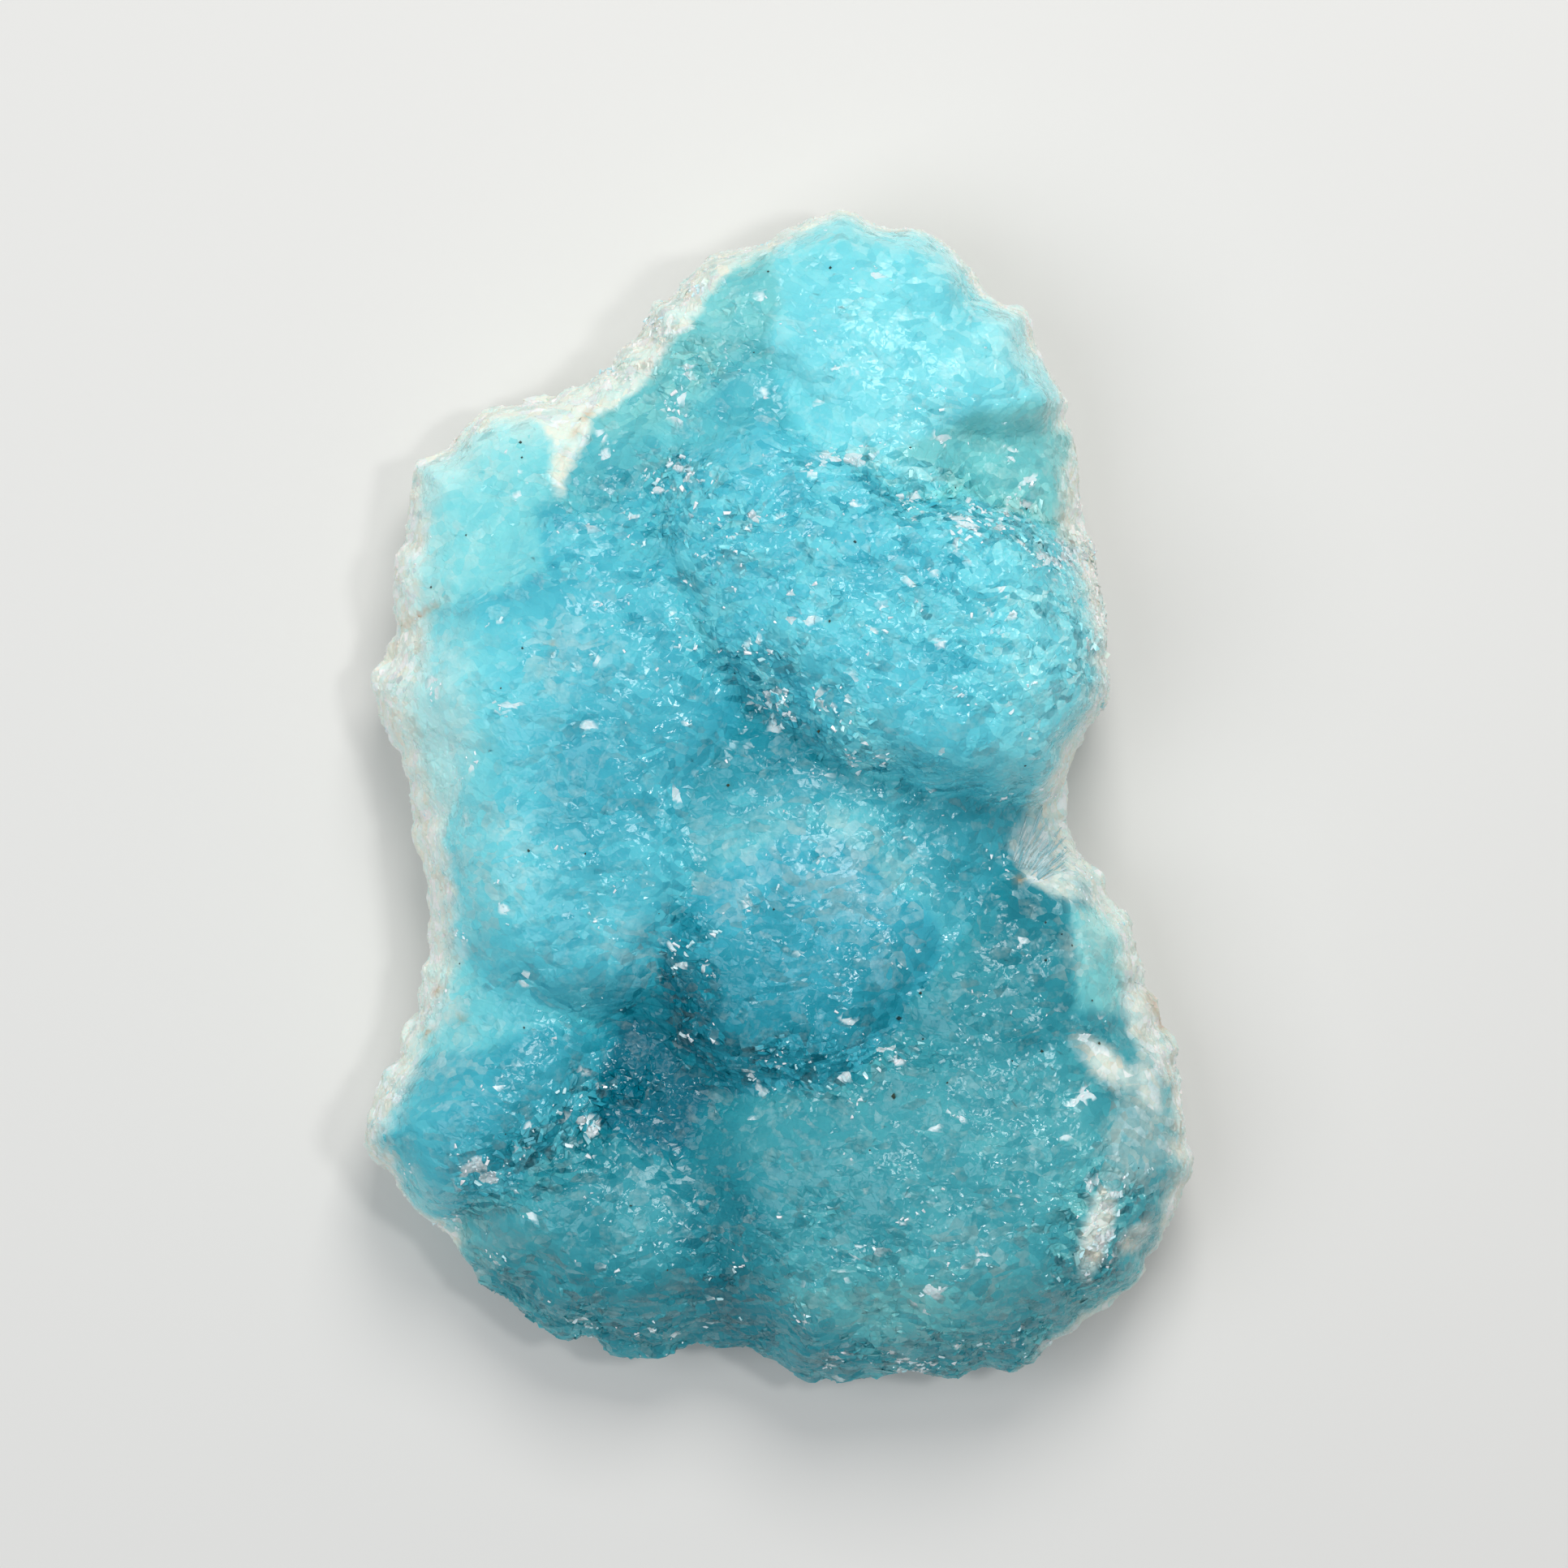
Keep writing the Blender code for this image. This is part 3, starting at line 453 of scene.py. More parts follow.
def faceMaps(loop):
    m = maps
    xs = np.arange(-30, 30, m["step"])
    ys = np.arange(-42, 42, m["step"])
    gx, gy = np.meshgrid(xs, ys)
    x, y = gx.ravel(), gy.ravel()
    depth = inward(np.stack([x, y], 1), loop)
    height, tone, green = faceHeight(x, y, np.maximum(depth, 0), True)
    shape = gx.shape
    level = np.where(depth > 0, height, 11.0).reshape(shape)
    hollow = boxBlur(level, int(m["hollowReach"] / m["step"])) - level
    nearby = bent(x, y, 5, 1.5, 0.12, 84)
    for regionTone, regionGreen, soft, strength, corners in regions:
        share = strength * smoothStep(inward(nearby, np.array(corners)), -soft, soft)
        tone, green = tone + (regionTone - tone) * share, green + (regionGreen - green) * share
    for cx, cy, a, b, turn, more in toneAndShadePatches:
        tone = tone + more * patch(x, y, cx, cy, a, b, turn, 0.7)
    width = m["rimPale"] + 0.18 * wave(x, y, 5, 61) + 0.12 * wave(x, y, 2, 62)
    for cx, cy, reach, extra in rimWidths:
        width = width + extra * patch(x, y, cx, cy, reach, reach, 0, 0.6)
    grownHere = grownShare(x, y, "pale")
    width = np.maximum(width, m["leastRimPale"])
    pale = (1 - smoothStep(depth, width * 0.5, width * 1.9 + 0.3)) * (1 - grownHere)
    pale = strongest(x, y, pale, palePatches, 0.5)
    nearby = bent(x, y, 4, 1.2, 0.14, 87)
    for strength, soft, corners in paleRegions:
        pale = np.maximum(pale, strength * smoothStep(inward(nearby, np.array(corners)), -soft, soft))
    sparkle = strongest(x, y, np.zeros_like(x), sparklePatches, 0.6)
    hollow = np.clip(hollow.ravel(), m["hollowLow"], m["hollowHigh"]) * smoothStep(depth, 1.0, 5.0)
    inCavity = patch(x, y, *m["cavity"], 0, 0.4)        # painted shade: only the cavity gets the full deep teal
    hollow *= m["hollowShare"] + (1 - m["hollowShare"]) * inCavity
    cloud = 0.6 * wave(x, y, 6, 63) + 0.4 * wave(x, y, 2.2, 64) + 0.3 * wave(x, y, 1.1, 65)
    # painted shade: tone darker in hollows; the cloud is the crust's own uneven tone
    tone = tone - m["hollowShadeTone"] * hollow + m["cloud"] * cloud
    # painted light: lighter near the crust's thin edges, less on the grown foot
    nearEdge = 1 - smoothStep(depth, 0.3, m["edgeReach"])
    tone = tone + m["paintedEdgeLight"] * nearEdge * (1 - 0.6 * grownHere)
    # painted light: lighter along the left flank
    onFlank = (1 - smoothStep(depth, 2.0, 8.0)) * np.clip((-x - 8) / 8, 0, 1)
    tone = tone + m["paintedFlankLight"] * onFlank * (1 - grownHere)
    paleCloud = 0.6 * wave(x, y, 3, 66) + 0.5 * wave(x, y, 1.2, 67)
    pale = pale + m["paleCloud"] * paleCloud * np.clip(2 * pale - 0.5, 0, 1)
    clumps = 0.6 * wave(x, y, 4.5, 68) + 0.4 * wave(x, y, 1.8, 69)
    sparkle = np.clip(sparkle + m["clusters"] * clumps, 0, 1)
    cluster = 0.55 * wave(x, y, 5, 81) + 0.5 * wave(x, y, 1.6, 82)
    inCore = patch(x, y, *m["cavityCore"], 0, 0.5)
    cluster = smoothStep(cluster + 0.8 * sparkle, 0.75, 1.5) * (1 - 0.8 * inCore)
    stain = strongest(x, y, np.zeros_like(x), stains, 0.5)
    stain *= 1 + 0.4 * wave(x, y, 0.8, 83)
    tables = dict(cluster=cluster, stain=np.clip(stain, 0, 1), tone=tone, green=green, pale=pale,
                  hollow=np.clip(hollow / m["hollowHigh"], 0, 1), sparkle=sparkle)
    return xs, ys, {name: table.reshape(shape) for name, table in tables.items()}


def sampled(face, name, x, y):
    xs, ys, tables = face
    table = tables[name]
    fx = np.clip((x - xs[0]) / maps["step"], 0, len(xs) - 1.001)
    fy = np.clip((y - ys[0]) / maps["step"], 0, len(ys) - 1.001)
    ix, iy = fx.astype(int), fy.astype(int)
    tx, ty = fx - ix, fy - iy
    low = table[iy, ix] * (1 - tx) + table[iy, ix + 1] * tx
    high = table[iy + 1, ix] * (1 - tx) + table[iy + 1, ix + 1] * tx
    return low * (1 - ty) + high * ty


# the skin: an even net over the form, each cell raised to a crystal tip
skin = dict(
    cell=0.52, slant=(0.7, 0.5, 0.35), jitter=0.30, seed=9, margin=0.12,
    smoothTip=0.012, tallTip=0.085, edgeTip=0.16, tipVaries=0.75, lean=0.26,
    cutHeight=0.5, cutFacing=-0.8, bareTop=6.2, bareFade=1.5, seamBulge=0.25,
)


def makeSkin():
    sheets, loop = crustMesh()
    turn = Matrix.Rotation(skin["slant"][0], 4, "X") @ Matrix.Rotation(skin["slant"][1], 4, "Y")
    turn = turn @ Matrix.Rotation(skin["slant"][2], 4, "Z")
    sheets.transform(turn)
    even = through(sheets, "REMESH", mode="VOXEL", voxel_size=skin["cell"] * mm)
    even.transform(turn.inverted())
    even.update()
    print("even net:", len(even.vertices), "points")
    at = vectors(even.vertices, "co") / mm
    facing = vectors(even.vertex_normals, "vector")
    x, y, z = at.T
    cut = (z < skin["cutHeight"]) & (facing[:, 2] < skin["cutFacing"])
    side = np.clip(1 - np.abs(facing[:, 2]) / crust["sideSteep"], 0, 1)
    broken = side * np.clip((crust["brokenTop"] - z) / crust["brokenFade"], 0, 1)
    raised = crust["bulgeHeight"] * (facets(at, crust["bulgeSize"], 11) - 0.45)
    breaks = facets(at * (1, 1, 1.6), crust["breakSize"], 13) - 0.6
    raised += crust["breakDepth"] * broken * breaks
    chips = facets(at * (1, 1, 1.4), crust["chipSize"], 15) - 0.5
    raised += crust["chipDepth"] * np.maximum(broken, 0.15) * chips
    raised += skin["seamBulge"] * broken * wave(x + y, z * 1.8, 5, 14)
    at += facing * np.where(cut, 0, raised)[:, None]
    random = np.random.RandomState(skin["seed"])
    drift = random.uniform(-1, 1, at.shape)
    drift -= facing * (drift * facing).sum(1)[:, None]
    at += drift * (skin["jitter"] * skin["cell"] * ~cut)[:, None]
    at[:, 2] = np.where(cut | (at[:, 2] < 0), 0, at[:, 2])
    face = faceMaps(loop)

    quads = np.empty(len(even.polygons) * 4, np.int32)
    even.polygons.foreach_get("vertices", quads)
    quads = quads.reshape(-1, 4)
    flat = cut[quads].all(1)
    bedQuads, tipQuads = quads[flat], quads[~flat]
    corners = at[tipQuads]
    middle = corners.mean(1)
    normal = np.cross(corners[:, 2] - corners[:, 0], corners[:, 3] - corners[:, 1])
    normal /= np.linalg.norm(normal, axis=1)[:, None]
    sparkle = sampled(face, "sparkle", *middle[:, :2].T)
    tall = skin["smoothTip"] + (skin["tallTip"] - skin["smoothTip"]) * sparkle
    varied = 1 + skin["tipVaries"] * random.uniform(-1, 1, len(middle))
    tall = tall * (varied + 1.6 * random.uniform(0, 1, len(middle)) ** 8)
    steep = np.clip(1 - np.abs(normal[:, 2]) / 0.7, 0, 1)
    tall += skin["edgeTip"] * steep * random.uniform(0, 1, len(middle)) ** 2
    lean = random.uniform(-1, 1, middle.shape) * skin["lean"] * skin["cell"]
    lean = lean * (0.6 + 0.8 * sparkle)[:, None]
    lean -= normal * (lean * normal).sum(1)[:, None]
    tips = middle + lean + normal * tall[:, None]
    tipIndex = len(at) + np.arange(len(tips))
    sides = [np.stack([tipQuads[:, i], tipQuads[:, (i + 1) % 4], tipIndex], 1) for i in range(4)]
    triangles = np.vstack(sides + [bedQuads[:, [0, 1, 2]], bedQuads[:, [0, 2, 3]]])
    points = np.vstack([at, tips])

    low, high = points.min(0), points.max(0)
    boxLow, boxHigh = np.array(cadBox[0]) / mm, np.array(cadBox[1]) / mm
    inset = np.array([skin["margin"]] * 3)
    goalLow, goalHigh = boxLow + inset * (1, 1, 0), boxHigh - inset
    points = goalLow + (points - low) * ((goalHigh - goalLow) / (high - low))

    mesh = bpy.data.meshes.new("crystalCrust")
    mesh.vertices.add(len(points))
    mesh.vertices.foreach_set("co", (points * mm).astype(np.float32).ravel())
    mesh.loops.add(len(triangles) * 3)
    mesh.loops.foreach_set("vertex_index", triangles.astype(np.int32).ravel())
    mesh.polygons.add(len(triangles))
    mesh.polygons.foreach_set("loop_start", np.arange(0, len(triangles) * 3, 3, dtype=np.int32))
    mesh.update(calc_edges=True)
    mesh.validate()
    mesh.shade_flat()

    bare = np.where(facing[:, 2] < -0.1, 1, np.clip(side * 2, 0, 1))
    bare = bare * np.clip((skin["bareTop"] - z) / skin["bareFade"], 0, 1)
    bare = np.concatenate([bare, bare[tipQuads].mean(1)])
    onCut = np.concatenate([cut.astype(float), np.zeros(len(tips))])
    dress(mesh, points, face, random.uniform(0, 1, len(points)))
    broken = 1 - grownShare(points[:, 0], points[:, 1], "bare")
    store(mesh, "bare", np.maximum(bare * broken, onCut))
    store(mesh, "flow", flow(points, mesh), "FLOAT_VECTOR")
    piece = bpy.data.objects.new("crystalCrust", mesh)
    bpy.context.scene.collection.objects.link(piece)
    print("skin:", len(triangles), "triangles")
    return piece, face, loop


def store(mesh, name, values, kind="FLOAT"):
    made = mesh.attributes.new(name, kind, "POINT")
    field = "vector" if kind == "FLOAT_VECTOR" else "value"
    made.data.foreach_set(field, np.asarray(values, np.float32).ravel())


# the face maps, read at each point
def dress(mesh, points, face, grain):
    x, y = points[:, 0], points[:, 1]
    for name in ("tone", "green", "hollow", "pale", "sparkle", "cluster", "stain"):
        store(mesh, name, sampled(face, name, x, y))
    store(mesh, "grain", grain)


# which way the crystals lie along the skin, in fans
def flow(points, mesh):
    x, y = points[:, 0], points[:, 1]
    angle = 1.6 * wave(x, y, 12, 71) + 0.6 * np.tanh(3 * wave(x, y, 3.0, 72))
    along = np.stack([np.cos(angle), np.sin(angle), np.zeros_like(x)], 1)
    facing = vectors(mesh.vertex_normals, "vector")
    along -= facing * (along * facing).sum(1)[:, None]
    return along / np.maximum(np.linalg.norm(along, axis=1), 1e-6)[:, None]


# crystals strewn over the skin: a few blades, and clusters of glassy flakes whose near-white colour is partly
# painted glint
blades = dict(kinds=7, seed=21, ridge=(0.35, 0.85), skew=0.3)
strewn = dict(
    tallBlades=dict(where="sparkle", perSquare=0.5, sparse=-0.35, small=(0.40, 0.26, 0.06),
                    large=(1.0, 0.46, 0.13), roll=0.22, turn=0.4, lean=0.2),
    glassyFlakes=dict(where="cluster", perSquare=2.6, sparse=0.004, small=(0.16, 0.12, 0.06),
                      large=(0.62, 0.30, 0.13), roll=0.2, turn=1.5, lean=0.35),
)


# closed wedges, 1 long, 1 high, each a little different
def bladeKinds():
    group = bpy.data.collections.new("bladeKinds")
    random = np.random.RandomState(blades["seed"])
    for i in range(blades["kinds"]):
        half = random.uniform(0.4, 0.6, 4)
        run = 0.5 * random.uniform(*blades["ridge"])
        lean, tilt = random.uniform(-1, 1, 2) * blades["skew"]
        corners = [(-0.5, -half[0], -0.4), (0.5, -half[1], -0.4), (0.5, half[2], -0.4), (-0.5, half[3], -0.4),
                   (-run + lean * 0.4, lean * 0.5, 1 - max(tilt, 0)),
                   (run + lean * 0.4, -lean * 0.5, 1 + min(tilt, 0))]
        mesh = bpy.data.meshes.new("blade")
        mesh.from_pydata(corners, [], [(0, 1, 5, 4), (2, 3, 4, 5), (1, 2, 5), (3, 0, 4), (3, 2, 1, 0)])
        group.objects.link(bpy.data.objects.new("blade%d" % i, mesh))
    return group


def bladeTree():
    tree = bpy.data.node_groups.new("strewBlades", "GeometryNodeTree")
    wanted = [("Skin", "Geometry"), ("Kinds", "Collection"), ("Where", "String"), ("Density", "Float"),
              ("Sparse", "Float"), ("Small", "Vector"), ("Large", "Vector"), ("Turn", "Float"),
              ("Lean", "Float"), ("Roll", "Float"), ("Seed", "Int"), ("Finish", "Material")]
    ids = {}
    for name, kind in wanted:
        socket = tree.interface.new_socket(name, in_out="INPUT", socket_type="NodeSocket" + kind)
        ids[name] = socket.identifier
    tree.interface.new_socket("Blades", in_out="OUTPUT", socket_type="NodeSocketGeometry")
    source = tree.nodes.new("NodeGroupInput").outputs

    def node(kind, settings=None, out=0, **values):
        made = tree.nodes.new(kind)
        for name, value in (settings or {}).items():
            setattr(made, name, value)
        for key, value in values.items():
            numbered = key[0] == "i" and key[1:].isdigit()      # i0 is the first input, and so on
            socket = made.inputs[int(key[1:]) if numbered else key.replace("_", " ")]
            if isinstance(value, bpy.types.NodeSocket):
                tree.links.new(value, socket)
            else:
                socket.default_value = value
        return made.outputs[out]

    def sums(operation, a, b):
        return node("ShaderNodeMath", dict(operation=operation), i0=a, i1=b)

    def named(name, kind="FLOAT"):
        return node("GeometryNodeInputNamedAttribute", dict(data_type=kind), Name=name)

    share = node("ShaderNodeMapRange", Value=named(source["Where"]), To_Min=source["Sparse"])
    share = sums("MULTIPLY", share, sums("SUBTRACT", 1.0, sums("MULTIPLY", named("bare"), 0.85)))
    scatter = tree.nodes.new("GeometryNodeDistributePointsOnFaces")
    tree.links.new(source["Skin"], scatter.inputs["Mesh"])
    tree.links.new(sums("MULTIPLY", source["Density"], share), scatter.inputs["Density"])
    tree.links.new(source["Seed"], scatter.inputs["Seed"])
    upright = node("FunctionNodeAlignRotationToVector", dict(axis="Z"), Vector=scatter.outputs["Normal"])
    along = node("FunctionNodeAlignRotationToVector", dict(axis="X", pivot_axis="Z"), Rotation=upright,
                 Vector=named("flow", "FLOAT_VECTOR"))
    turns = node("ShaderNodeCombineXYZ", X=source["Lean"], Y=source["Lean"], Z=source["Turn"])
    spread = node("FunctionNodeRandomValue", dict(data_type="FLOAT_VECTOR"), i0=(-1, -1, -1), i1=(1, 1, 1),
                  Seed=source["Seed"])
    spread = node("ShaderNodeVectorMath", dict(operation="MULTIPLY"), i0=spread, i1=turns)
    spread = node("ShaderNodeVectorMath", dict(operation="ADD"), i0=spread,
                  i1=node("ShaderNodeCombineXYZ", X=source["Roll"]))
    turned = node("FunctionNodeRotateRotation", dict(rotation_space="LOCAL"), Rotation=along,
                  Rotate_By=node("FunctionNodeEulerToRotation", Euler=spread))
    luck = node("FunctionNodeRandomValue", dict(data_type="FLOAT"), out=1,
                Seed=sums("ADD", source["Seed"], 5.0))
    big = node("ShaderNodeMath", dict(operation="MULTIPLY", use_clamp=True), i0=sums("POWER", luck, 2.2),
               i1=sums("ADD", sums("MULTIPLY", named("sparkle"), 1.1), 0.35))
    size = node("ShaderNodeMix", dict(data_type="VECTOR"), out=1, i0=big, i4=source["Small"],
                i5=source["Large"])
    kinds = node("GeometryNodeCollectionInfo", Collection=source["Kinds"], Separate_Children=True,
                 Reset_Children=True)
    laid = node("GeometryNodeInstanceOnPoints", Points=scatter.outputs["Points"], Instance=kinds,
                Pick_Instance=True, Rotation=turned, Scale=size)
    whole = node("GeometryNodeRealizeInstances", Geometry=laid)
    dressed = node("GeometryNodeSetMaterial", Geometry=whole, Material=source["Finish"])
    tree.links.new(dressed, tree.nodes.new("NodeGroupOutput").inputs[0])
    return tree, ids


def strewCrystals(skinPiece, face, finishes):
    kinds = bladeKinds()
    tree, ids = bladeTree()
    pieces = []
    for number, (name, c) in enumerate(strewn.items()):
        modifier = skinPiece.modifiers.new(name, "NODES")
        modifier.node_group = tree
        values = dict(Kinds=kinds, Where=c["where"], Density=c["perSquare"] / mm ** 2, Sparse=c["sparse"],
                      Small=[v * mm for v in c["small"]], Large=[v * mm for v in c["large"]], Turn=c["turn"],
                      Lean=c["lean"], Roll=c["roll"], Seed=blades["seed"] + number, Finish=finishes[number])
        for key, value in values.items():
            modifier[ids[key]] = value
        skinPiece.update_tag()
        graph = bpy.context.evaluated_depsgraph_get()
        mesh = bpy.data.meshes.new_from_object(skinPiece.evaluated_get(graph))
        skinPiece.modifiers.remove(modifier)
        mesh.name = name
        points = vectors(mesh.vertices, "co") / mm
        count = len(points) // 6
        middles = points.reshape(-1, 6, 3).mean(1)
        random = np.random.RandomState(blades["seed"] + 40 + number)
        for other in list(mesh.attributes):
            if not other.is_required and not other.is_internal and other.name != "material_index":
                mesh.attributes.remove(other)
        mesh.shade_flat()
        dress(mesh, np.repeat(middles, 6, 0), face, np.repeat(random.uniform(0, 1, count), 6))
        store(mesh, "bare", np.zeros(len(points)))
        points = np.clip(points, np.array(cadBox[0]) / mm + (0, 0, 0.02), np.array(cadBox[1]) / mm)
        mesh.vertices.foreach_set("co", (points * mm).astype(np.float32).ravel())
        mesh.update()
        piece = bpy.data.objects.new(name, mesh)
        bpy.context.scene.collection.objects.link(piece)
        pieces.append(piece)
        mesh.calc_loop_triangles()
        print(name + ":", count, "blades,", len(mesh.loop_triangles), "triangles")
    for kind in list(kinds.objects):
        bpy.data.objects.remove(kind)
    bpy.data.collections.remove(kinds)
    return pieces


# fibres at the waist and dark grains, laid on the skin
fibres = dict(
    count=70, seed=31, corner=(15.3, -4.4), along=(0.60, 0.80), across=3.6, reach=3.4,
    width=(0.10, 0.24), height=0.16,
)
grains = dict(
    seed=33, count=44, size=(0.05, 0.13),
    placed=[(7.9, -14.5, 0.16), (7.6, -19.6, 0.20), (4.9, 2.2, 0.09), (17.5, -10.7, 0.11),
            (18.6, -9.0, 0.08), (20.6, -13.4, 0.10), (21.1, -16.2, 0.12), (-16.7, 9.7, 0.08),
            (-22.9, 13.8, 0.09), (-18.1, 7.1, 0.07)],      # seen in the photo: x, y, size
)


def pieceOf(name, points, faces, grain):
    mesh = bpy.data.meshes.new(name)
    points = np.clip(np.array(points), np.array(cadBox[0]) / mm + (0, 0, 0.02), np.array(cadBox[1]) / mm)
    mesh.from_pydata((points * mm).tolist(), [], faces)
    mesh.shade_flat()
    store(mesh, "grain", grain)
    piece = bpy.data.objects.new(name, mesh)
    bpy.context.scene.collection.objects.link(piece)
    print(name + ":", len(faces), "faces")
    return piece


# a fan of thin ridged crystals that follow the skin
def makeFibres(ground):
    c, random = fibres, np.random.RandomState(fibres["seed"])
    points, faces, grain = [], [], []
    for _ in range(c["count"]):
        across, along = random.uniform(0, c["across"]), random.uniform(0, c["reach"] * 0.6)
        length, half = random.uniform(0.8, c["reach"] * 0.75), random.uniform(*c["width"]) / 2
        bend = random.uniform(-0.12, 0.12) + (across / c["across"] - 0.5) * 0.5
        way = np.array([c["along"][0] + bend, c["along"][1] - bend])
        side = np.array([way[1], -way[0]])
        start = np.array(c["corner"]) + np.array([c["along"][1], -c["along"][0]]) * across * 0.6 + way * along
        first = len(points)
        for i, swell in enumerate((0.2, 1, 1, 0.2)):
            x, y = start + way * length * i / 3
            z = ground(x, y)
            for share, lift in ((-1, -0.06), (1, -0.06), (0, c["height"] * swell)):
                out = half * share * swell
                points.append((x + side[0] * out, y + side[1] * out, z + lift))
                grain.append(random.uniform(0, 1) * 0.3 + (first * 7 % 10) / 14)
        for i in range(3):
            a, b = first + i * 3, first + i * 3 + 3
            faces += [(a + 2, b + 2, b, a), (b + 1, b + 2, a + 2, a + 1), (b, b + 1, a + 1, a)]
        faces += [(first + 1, first + 2, first), (first + 11, first + 10, first + 9)]
    return pieceOf("waistFibres", points, faces, grain)


# tiny dark grains stuck to the skin
def makeGrains(ground, loop):
    c, random = grains, np.random.RandomState(grains["seed"])
    places = list(c["placed"])
    while len(places) < c["count"]:
        x, y = random.uniform(-25, 25), random.uniform(-37, 37)
        if inward(np.array([[x, y]]), loop)[0] > 1.5:
            places.append((x, y, random.uniform(*c["size"])))
    points, faces, grain = [], [], []
    for x, y, size in places:
        first, middle = len(points), np.array([x, y, ground(x, y) + size * 0.3])
        for way in ((1, 0, 0), (0, 1, 0), (-1, 0, 0), (0, -1, 0), (0, 0, 1), (0, 0, -1)):
            corner = middle + np.array(way) * size * random.uniform(0.6, 1.3)
            points.append(corner + random.uniform(-0.2, 0.2, 3) * size)
            grain.append((first * 5 % 17) / 17)
        faces += [(first + i, first + (i + 1) % 4, first + 4) for i in range(4)]
        faces += [(first + (i + 1) % 4, first + i, first + 5) for i in range(4)]
    return pieceOf("darkGrains", points, faces, grain)


# height of the skin at a place, in millimetres
def groundOf(piece):
    mesh = piece.data
    tree = BVHTree.FromPolygons([v.co for v in mesh.vertices], [tuple(p.vertices) for p in mesh.polygons])

    def ground(x, y):
        hit = tree.ray_cast(Vector((x * mm, y * mm, 0.05)), Vector((0, 0, -1)))[0]
        return hit.z / mm if hit else 5.0
    return ground


def hexColour(code):
    parts = [int(code[i:i + 2], 16) / 255 for i in (0, 2, 4)]
    return tuple(c / 12.92 if c <= 0.04045 else ((c + 0.055) / 1.055) ** 2.4 for c in parts) + (1.0,)


# a socket that can be used in sums
class Wire:
    def __init__(self, tree, socket):
        self.tree, self.socket = tree, socket

    def sum(self, operation, *others, clamp=False):
        return self.tree.node("ShaderNodeMath", dict(operation=operation, use_clamp=clamp),
                              {i: value for i, value in enumerate((self,) + others)})

    def __add__(self, other): return self.sum("ADD", other)
    __radd__ = __add__
    def __mul__(self, other): return self.sum("MULTIPLY", other)
    __rmul__ = __mul__
    def __sub__(self, other): return self.sum("SUBTRACT", other)
    def __rsub__(self, other): return self.tree.number(other).sum("SUBTRACT", self)
    def __truediv__(self, other): return self.sum("DIVIDE", other)
    def high(self, other): return self.sum("MAXIMUM", other)
    def clamped(self): return self.sum("ADD", 0.0, clamp=True)
    def above(self, level, width): return ((self - (level - width / 2)) / width).clamped()


# a material and its nodes
class Finish:
    def __init__(self, name):
        self.material = bpy.data.materials.new(name)
        self.material.use_nodes = True
        self.nodes, self.links = self.material.node_tree.nodes, self.material.node_tree.links
        self.shader = self.nodes["Principled BSDF"]

    def put(self, socket, value):
        if isinstance(value, Wire):
            self.links.new(value.socket, socket)
        elif value is not None:
            socket.default_value = value

    def node(self, kind, settings=None, values=None, out=0):
        made = self.nodes.new(kind)
        for name, value in (settings or {}).items():
            if name == "stops":
                ramp = made.color_ramp
                while len(ramp.elements) < len(value):
                    ramp.elements.new(0.5)
                for element, (place, colour) in zip(ramp.elements, value):
                    element.position = place
                    element.color = colour
            else:
                setattr(made, name, value)
        for key, value in (values or {}).items():
            self.put(made.inputs[key], value)
        return Wire(self, made.outputs[out])

    def number(self, value):
        if isinstance(value, Wire):
            return value
        return self.node("ShaderNodeMath", dict(operation="ADD"), {0: value, 1: 0.0})

    def attribute(self, name):
        return self.node("ShaderNodeAttribute", dict(attribute_name=name), out="Fac")

    def place(self):
        return self.node("ShaderNodeTexCoord", out="Object")

    def mix(self, factor, a, b, blend="MIX"):
        return self.node("ShaderNodeMix", dict(data_type="RGBA", blend_type=blend),
                         {0: factor, 6: a, 7: b}, out=2)

    def noise(self, scale, detail, roughness, at, out="Fac"):
        return self.node("ShaderNodeTexNoise", None,
                         {"Vector": at, "Scale": scale, "Detail": detail, "Roughness": roughness}, out)

    def ramp(self, stops, level):
        return self.node("ShaderNodeValToRGB", dict(stops=[(p, hexColour(h)) for p, h in stops]), {0: level})

    def move(self, a, operation, b):
        return self.node("ShaderNodeVectorMath", dict(operation=operation), {0: a, 1: b})

    def set(self, **values):
        for name, value in values.items():
            self.put(self.shader.inputs[name.replace("_", " ")], value)


crustFinish = dict(
    depths=[(0.0, "006C80"), (0.22, "1A8EA2"), (0.42, "3EABC0"), (0.6, "5CC6D6"), (0.8, "7EDCE6"),
            (1.0, "B4EEF0")],
    greyer=[(0.0, "046A7A"), (0.22, "268A98"), (0.42, "48A4AE"), (0.6, "68BCC0"), (0.8, "8AD4D2"),
            (1.0, "C0EAE4")],
    pale="E6F6EE", cream="F2EEDC", white="FCFCF8", ochre="C08A44", glint="E8F6F8",
    roughness=0.2, roughVaries=0.16, paleRough=0.2, ior=1.61, shine=0.26,
    scatter=0.55, scatterReach=0.0011, scatterColours=(0.4, 0.9, 1.0),
    cellSize=0.88, stretch=(1.0, 1.6, 1.2), bendSize=4.0, bend=3.0, jagSize=0.4, jag=0.18,
    facetStrength=1.0, roughShare=0.72, cellTone=0.40, bladeTone=0.12, paintedEdgeLight=0.12, edgeLevel=0.42,
    fineScale=1900, fineTone=0.06, paleLevel=0.5, paleFade=0.9, paleShare=0.85, bareShare=0.9,
    glintGather=0.38, glintLevel=1.05, glintFade=0.14, glintShare=0.8, stainShare=0.5, stainVaries=0.4,
)


